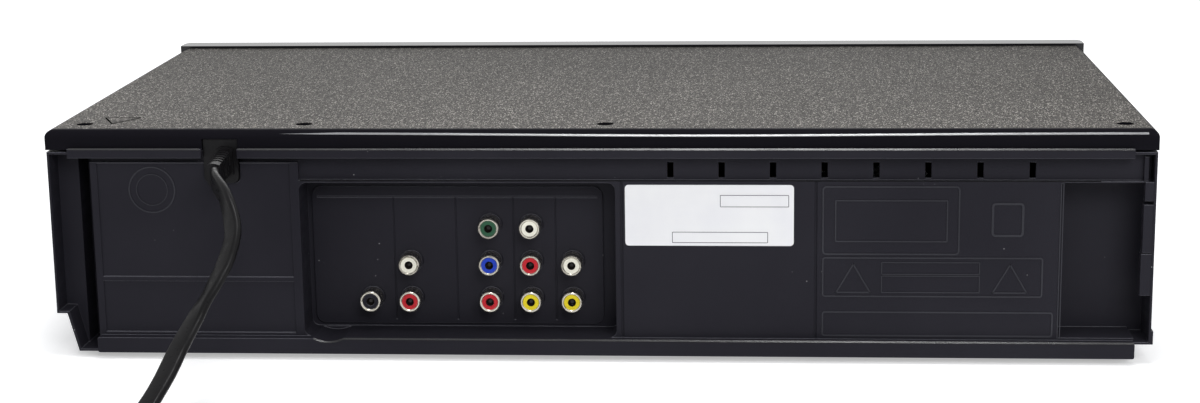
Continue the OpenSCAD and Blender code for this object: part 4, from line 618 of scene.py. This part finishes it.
for finish, nodes in WEARS.items():
    for n in nodes:
        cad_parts[n].data.materials.clear()
        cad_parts[n].data.materials.append(finish)
print("finishes on", sum(len(nodes) for nodes in WEARS.values()), "of", len(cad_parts), "solids")

# %% [markdown]
# ## Raised lines on the connector panel
# The panel carries frames for its notices, moulded as low ridges in a paler tone than the panel: a painted
# highlight for the light their edges catch. They are left without any words or signs. A ridge is a ring: one
# face, its corners rounded by a bevel, thinned to a frame of the ridge's width and pushed out of the panel. It
# is made in a bmesh of its own, so that the operators see nothing but that ring, and then joined to the others.

# %% Ridge helper
panel_y = 113.0


def flat_face(bm, corners, y, rounding):
    face = bm.faces.new([bm.verts.new(Vector((x, y, z)) * MM) for x, z in corners])
    face.normal_update()
    if rounding:
        bmesh.ops.bevel(bm, geom=list(face.verts), offset=rounding * MM, segments=5, profile=0.5,
                        affect="VERTICES", material=-1)


def oblong(x0, x1, z0, z1):
    return [(x0, z0), (x0, z1), (x1, z1), (x1, z0)]


def ridge(bm, corners, y=panel_y, width=0.6, height=0.3, rounding=1.2):
    part = bmesh.new()
    flat_face(part, corners, y, rounding)
    thin_frame(part, width * MM)
    push_out(part, list(part.faces), (0, height * MM, 0))
    spare = bpy.data.meshes.new("spare")
    part.to_mesh(spare)
    part.free()
    bm.from_mesh(spare)
    bpy.data.meshes.remove(spare)


# %% Frames, boxes and triangles
panel_edge = -88.9
bm = bmesh.new()
ridge(bm, oblong(-141.8, panel_edge, 42.7, 70), rounding=1.6)
ridge(bm, oblong(-137.2, -93.8, 47.8, 64.5), width=0.5, rounding=0.6)
ridge(bm, oblong(-166.3, -153.9, 50, 63.5), width=0.9, rounding=1.6)
ridge(bm, oblong(-174, panel_edge, 25.8, 41.8))
ridge(bm, oblong(-149.9, -111.8, 34.8, 39.9), width=0.4, rounding=0.5)
ridge(bm, oblong(-149.9, -111.8, 27.5, 34.5), width=0.4, rounding=0.5)
ridge(bm, oblong(-178.3, panel_edge, 9.9, 20))
ridge(bm, oblong(-181.2, -179.9, 9.4, 71.4), width=0.4, rounding=0.3)
for apex in (-101, -161.4):
    ridge(bm, [(apex - 7, 27.4), (apex, 39.5), (apex + 7, 27.4)], width=0.55, rounding=0.5)
# The ridges' paler colour is a painted highlight.
make_piece("panel_ridges", bm, ridge_highlight_moulding)

# %% [markdown]
# ## Round emblem field
# A round field on the panel's other end has two rings. Each ring is a small rectangle spun round the
# emblem's middle, which gives clean circles where an inset of a polygon would show its corners.

# %% Emblem rings
field_x, field_z, root_y, crest_y = 175, 68, 112.4, 112.8
bm = bmesh.new()
for r, w in ((9.4, 0.55), (6.4, 0.35)):
    section = [(r, root_y), (r, crest_y), (r - w, crest_y), (r - w, root_y)]
    spin_round(bm, [(field_x + x, y, field_z) for x, y in section], (field_x, 0, field_z), 64, closed=True)
bmesh.ops.remove_doubles(bm, verts=list(bm.verts), dist=0.00001)
make_piece("emblem_rings", bm, ridge_highlight_moulding)

# %% [markdown]
# ## Blank plate
# The type plate is thin white film with round corners. It is left bare, apart from two empty boxes in
# a hair line, as a form has before it is filled in. The film is a face that starts just inside the panel
# and is pushed out until it stands 0.15 mm proud.

# %% Plate finish and plate
paper, tree, shader, place = start_finish("label_film", (0.85, 0.85, 0.85), 0.35)
white = ramp(tree, noise(tree, place, 60, 3), (0.3, (0.82, 0.82, 0.84)), (0.7, (0.87, 0.87, 0.87)))
tree.links.new(white, shader.inputs["Base Color"])
tree.links.new(ramp(tree, noise(tree, place, 30, 3), (0.3, 0.28), (0.7, 0.45)), shader.inputs["Roughness"])
relief(tree, shader, noise(tree, place, 90, 2), 0.0001, 0.3)
film_root, film_thick, film_corner = 0.05, 0.2, 1.4
bm = bmesh.new()
flat_face(bm, oblong(-77.9, -12.3, 46.15, 70.4), panel_y - film_root, film_corner)
push_out(bm, list(bm.faces), (0, film_thick * MM, 0))
make_piece("blank_plate", bm, paper)

# %% Hair-line boxes on the plate
bm = bmesh.new()
for field in (oblong(-76, -49.3, 61.6, 66.4), oblong(-67.9, -30.6, 47.3, 51.7)):
    ridge(bm, field, y=panel_y + 0.14, width=0.22, height=0.04, rounding=0.3)
make_piece("plate_boxes", bm, ridge_highlight_moulding)

# %% [markdown]
# ## Arrow mark on the cover
# Near one rear corner a triangle is scored into the paint, as a mark for the fitter. It is the same kind
# of ring as on the panel, made upright and then laid flat by a quarter turn about X. Its finish has no
# gloss at all, because a glossy line would shine as pale as the paint round it.

# %% Arrow mark
mark_z = 92.3
bm = bmesh.new()
ridge(bm, [(200, -87), (184, -87), (193, -101.5)], y=mark_z, width=0.7, height=0.15, rounding=0)
bmesh.ops.rotate(bm, cent=(0, 0, 0), matrix=Matrix.Rotation(math.radians(90), 3, "X"), verts=list(bm.verts))
make_piece("arrow_mark", bm, scored_mark)

# %% [markdown]
# ## Contact cups in the jacks
# Deep in each jack sits the dark spring contact that grips the plug's pin. It is a little cup: half of
# its outline is drawn as a chain of edges, and a full spin about the jack's own axis makes it round.

# %% Contact cups
jack_x, jack_z, jack_y = (9.7, 26.1, 42.5, 74.7, 90.6), (21.0, 36.0, 51.0), 105.85
filled = ((0, 0), (0, 1), (1, 0), (1, 1), (1, 2), (2, 0), (2, 1), (2, 2), (3, 0), (3, 1), (4, 0))
jacks = [(jack_x[column], jack_y, jack_z[row], 1) for column, row in filled]
front_x, front_y, front_z = (-150.0, -132.0), -116.65, 23.0
jacks += [(x, front_y, front_z, -1) for x in front_x]
cup = [(0, -1.6), (0.7, -1.6), (1.1, -0.9), (1.6, 0), (1.6, -2.4), (0, -2.4)]
bm = bmesh.new()
for x, y, z, out in jacks:
    spin_round(bm, [(x + r, y + out * d, z) for r, d in cup], (x, y, z), 20)
bmesh.ops.remove_doubles(bm, verts=list(bm.verts), dist=0.00001)
make_piece("contact_cups", bm, contact_dark)

# %% [markdown]
# ## Signs on the buttons
# The front buttons carry the usual plain signs: triangles, a square, a dot, a bar. Each is a flat face
# that starts inside the button and stands less than a tenth of a millimetre proud of it, like thick ink.
# It rides on its own button, so it goes in with it.

# %% Sign helpers
ink, ink_root = -0.16, 0.08


def sign(bm, corners, at, y):
    face = bm.faces.new([bm.verts.new(Vector((at[0] + x, y, at[1] + z)) * MM) for x, z in corners])
    push_out(bm, [face], (0, ink * MM, 0))


def arrow_right(x):
    return [(x - 1.1, -1.4), (x - 1.1, 1.4), (x + 1.3, 0)]


def arrow_left(x):
    return [(x + 1.1, -1.4), (x + 1.1, 1.4), (x - 1.3, 0)]


def round_sign(r):
    return [(r * math.cos(math.radians(a)), r * math.sin(math.radians(a))) for a in range(0, 360, 20)]


# %% Button signs
lift_sign = [[(-1.7, -0.4), (1.7, -0.4), (0, 1.6)], oblong(-1.7, 1.7, -1.5, -0.9)]
SIGNS = {
    "rewind_button": [arrow_left(-1.3), arrow_left(1.3)],
    "play_button": [arrow_right(0)],
    "forward_button": [arrow_right(-1.3), arrow_right(1.3)],
    "record_button": [round_sign(1.5)],
    "eject_button": lift_sign,
    "disc_play_button": [arrow_right(0)],
    "disc_stop_button": [oblong(-1.3, 1.3, -1.3, 1.3)],
    "disc_open_button": lift_sign,
    "power_button": [oblong(-0.35, 0.35, 0.3, 3.2)],
}
for button, shapes in SIGNS.items():
    low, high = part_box(button)
    at = ((low.x + high.x) / 2 / MM, (low.z + high.z) / 2 / MM)
    root_y = low.y / MM + ink_root
    bm = bmesh.new()
    for corners in shapes:
        sign(bm, corners, at, root_y)
    if button == "power_button":
        ring = [(at[0] + x, at[1] + z) for x, z in round_sign(2.9)]
        ridge(bm, ring, y=root_y, width=0.5, height=ink, rounding=0)
    make_piece(button.replace("button", "sign"), bm, printed_mark, body=button)

# %% [markdown]
# ## Beads along the rear edges
# A little under the rear edge of the cover runs a narrow bead with a slanted upper side, the sharpest line of
# light on the whole case. Its colour is a pale grey, a painted highlight on what is black plastic. It sags by
# less than a millimetre between the ends, as long thin sheet does, and sinks away towards the cord's end. The
# panel's upper edge and the tub's two rails have the same slanted edge, finer and duller. On the upper rail it
# stops at the cord's bush, and on the lower one it follows the finger dip. A small outline is made once and
# swept along each run with extrude, which keeps the slant even where the bead sags.

# %% Bead helper
def bead(name, runs, outline, finish):
    bm = bmesh.new()
    for places in runs:
        x, y, z = places[0]
        front = bm.faces.new([bm.verts.new(Vector((x, y + dy, z + dz)) * MM) for dy, dz in outline])
        for here, there in zip(places, places[1:]):
            grown = push_out(bm, [front], (Vector(there) - Vector(here)) * MM)
            if here != places[0]:
                bmesh.ops.delete(bm, geom=[front], context="FACES_ONLY")
            front = grown[0]
    make_piece(name, bm, finish, smooth=20)


# %% Cover bead
cover_bead = [(-0.3, 0), (0, 0), (0.5, -0.5), (0.5, -0.7), (0, -0.9), (-0.3, -0.9)]
bead_z, bead_sag, sag_x, sag_reach = 91.45, 0.85, -45, 95
sink_from, sink_reach, sink_depth = 15, 110, 0.95
bead_places = []
for x in range(-212, 145, 17):
    sink = sink_depth * min(max((x - sink_from) / sink_reach, 0), 1)
    bead_places.append((x, cover_y - sink, bead_z - bead_sag * math.exp(-((x - sag_x) / sag_reach) ** 2)))
# The cover's bead wears the pale painted highlight.
bead("rear_bead", [bead_places], cover_bead, bead_painted_highlight)

# %% Panel bead and rail beads
panel_outline = [(-0.2, -0.15), (-0.2, 0.2), (0.2, -0.2), (-0.15, -0.2)]
bead("panel_bead", [[(-195, panel_y, 72), (115.5, panel_y, 72)]], panel_outline, rail_gloss)
rail_outline = [(-0.3, -0.2), (-0.3, 0.3), (0.3, -0.3), (-0.2, -0.3)]
rail_y, top_z, low_z, bush_x0, bush_x1 = 117.0, 85.2, 8.7, 138.8, 154.0
bead("top_rail_bead", [[(-206.5, rail_y, top_z), (bush_x0, rail_y, top_z)],
                       [(bush_x1, rail_y, top_z), (206.5, rail_y, top_z)]], rail_outline, rail_gloss)
dip_x, dip_z, dip_r, dip_half = 105.9, 20.9, 13.6, 26
dip = [(dip_x + dip_r * math.sin(math.radians(a)), rail_y, dip_z - dip_r * math.cos(math.radians(a)))
       for a in range(-dip_half, dip_half + 1, 4)]
bead("low_rail_bead", [[(-209, rail_y, low_z)] + dip], rail_outline, rail_gloss)

# %% [markdown]
# ## Floor, backdrop and light
# The floor is a large pale plane. Seen by the camera or in a mirror it gets a little of its own light, so
# it turns white away from the player and still keeps the soft shadow. The backdrop is the world: white
# to the camera and to mirrors, and plain grey as a source of light. Three large soft lamps stand for the
# light boxes of a studio.

# %% Kinds of ray
def most(tree, path, first, *others):
    value = path.outputs[first]
    for name in others:
        node = tree.nodes.new("ShaderNodeMath")
        node.operation = "MAXIMUM"
        tree.links.new(value, node.inputs[0])
        tree.links.new(path.outputs[name], node.inputs[1])
        value = node.outputs[0]
    return value


# %% Floor
floor_size, floor_drop, floor_glow = 6, 0.0002, 0.42
bm = bmesh.new()
bmesh.ops.create_grid(bm, x_segments=1, y_segments=1, size=floor_size)
bmesh.ops.translate(bm, vec=(0, 0, -floor_drop), verts=list(bm.verts))
floor_mesh = bpy.data.meshes.new("floor")
bm.to_mesh(floor_mesh)
bm.free()
floor = bpy.data.objects.new("floor", floor_mesh)
bpy.context.scene.collection.objects.link(floor)
floor_finish, tree, shader, _ = start_finish("floor_finish", (0.86, 0.86, 0.86), 0.9)
shader.inputs["Specular IOR Level"].default_value = 0.1
path = tree.nodes.new("ShaderNodeLightPath")
shader.inputs["Emission Color"].default_value = (1, 1, 1, 1)
glow = tree.nodes.new("ShaderNodeMath")
glow.operation = "MULTIPLY"
glow.inputs[1].default_value = floor_glow
tree.links.new(most(tree, path, "Is Camera Ray", "Is Glossy Ray", "Is Transmission Ray"), glow.inputs[0])
tree.links.new(glow.outputs[0], shader.inputs["Emission Strength"])
floor_mesh.materials.append(floor_finish)
floor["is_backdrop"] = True
print("floor ready")

# %% World
sky_colour, sky_strength, backdrop_strength = (0.93, 0.95, 1, 1), 0.42, 1.0
world = bpy.data.worlds.new("studio")
bpy.context.scene.world = world
world.use_nodes = True
tree = world.node_tree
sky = tree.nodes["Background"]
sky.inputs["Color"].default_value = sky_colour
sky.inputs["Strength"].default_value = sky_strength
backdrop = tree.nodes.new("ShaderNodeBackground")
backdrop.inputs["Color"].default_value = (1, 1, 1, 1)
backdrop.inputs["Strength"].default_value = backdrop_strength
path = tree.nodes.new("ShaderNodeLightPath")
choose = tree.nodes.new("ShaderNodeMixShader")
seen = most(tree, path, "Is Camera Ray", "Is Glossy Ray", "Is Transmission Ray")
tree.links.new(seen, choose.inputs["Fac"])
tree.links.new(sky.outputs[0], choose.inputs[1])
tree.links.new(backdrop.outputs[0], choose.inputs[2])
tree.links.new(choose.outputs[0], tree.nodes["World Output"].inputs["Surface"])
print("world ready")


# %% Lamps
def soft_lamp(name, place, aim, size, power):
    lamp = bpy.data.lights.new(name, "AREA")
    lamp.shape = "RECTANGLE"
    lamp.size, lamp.size_y = size
    lamp.energy = power
    holder = bpy.data.objects.new(name, lamp)
    bpy.context.scene.collection.objects.link(holder)
    holder.location = place
    holder.rotation_euler = (Vector(aim) - Vector(place)).to_track_quat("-Z", "Y").to_euler()
    print(name, "with", power, "watts")


soft_lamp("box_above", (-0.06, 0.25, 1.45), (-0.06, 0.1, 0.05), (0.42, 0.42), 8)
soft_lamp("box_behind", (-0.7, 2.0, 1.3), (-0.05, 0.1, 0.05), (1.2, 1.0), 26)
soft_lamp("box_front", (0.3, -1.9, 1.1), (0, 0, 0.05), (1.6, 1.0), 13)

# %% [markdown]
# ## Finish
# The size of the dressed model is printed at the end.

# %% Sizes and end
bpy.context.scene.view_settings.view_transform = "Standard"
low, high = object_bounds()
print("size of the dressed model", [round(v, 4) for v in high - low])
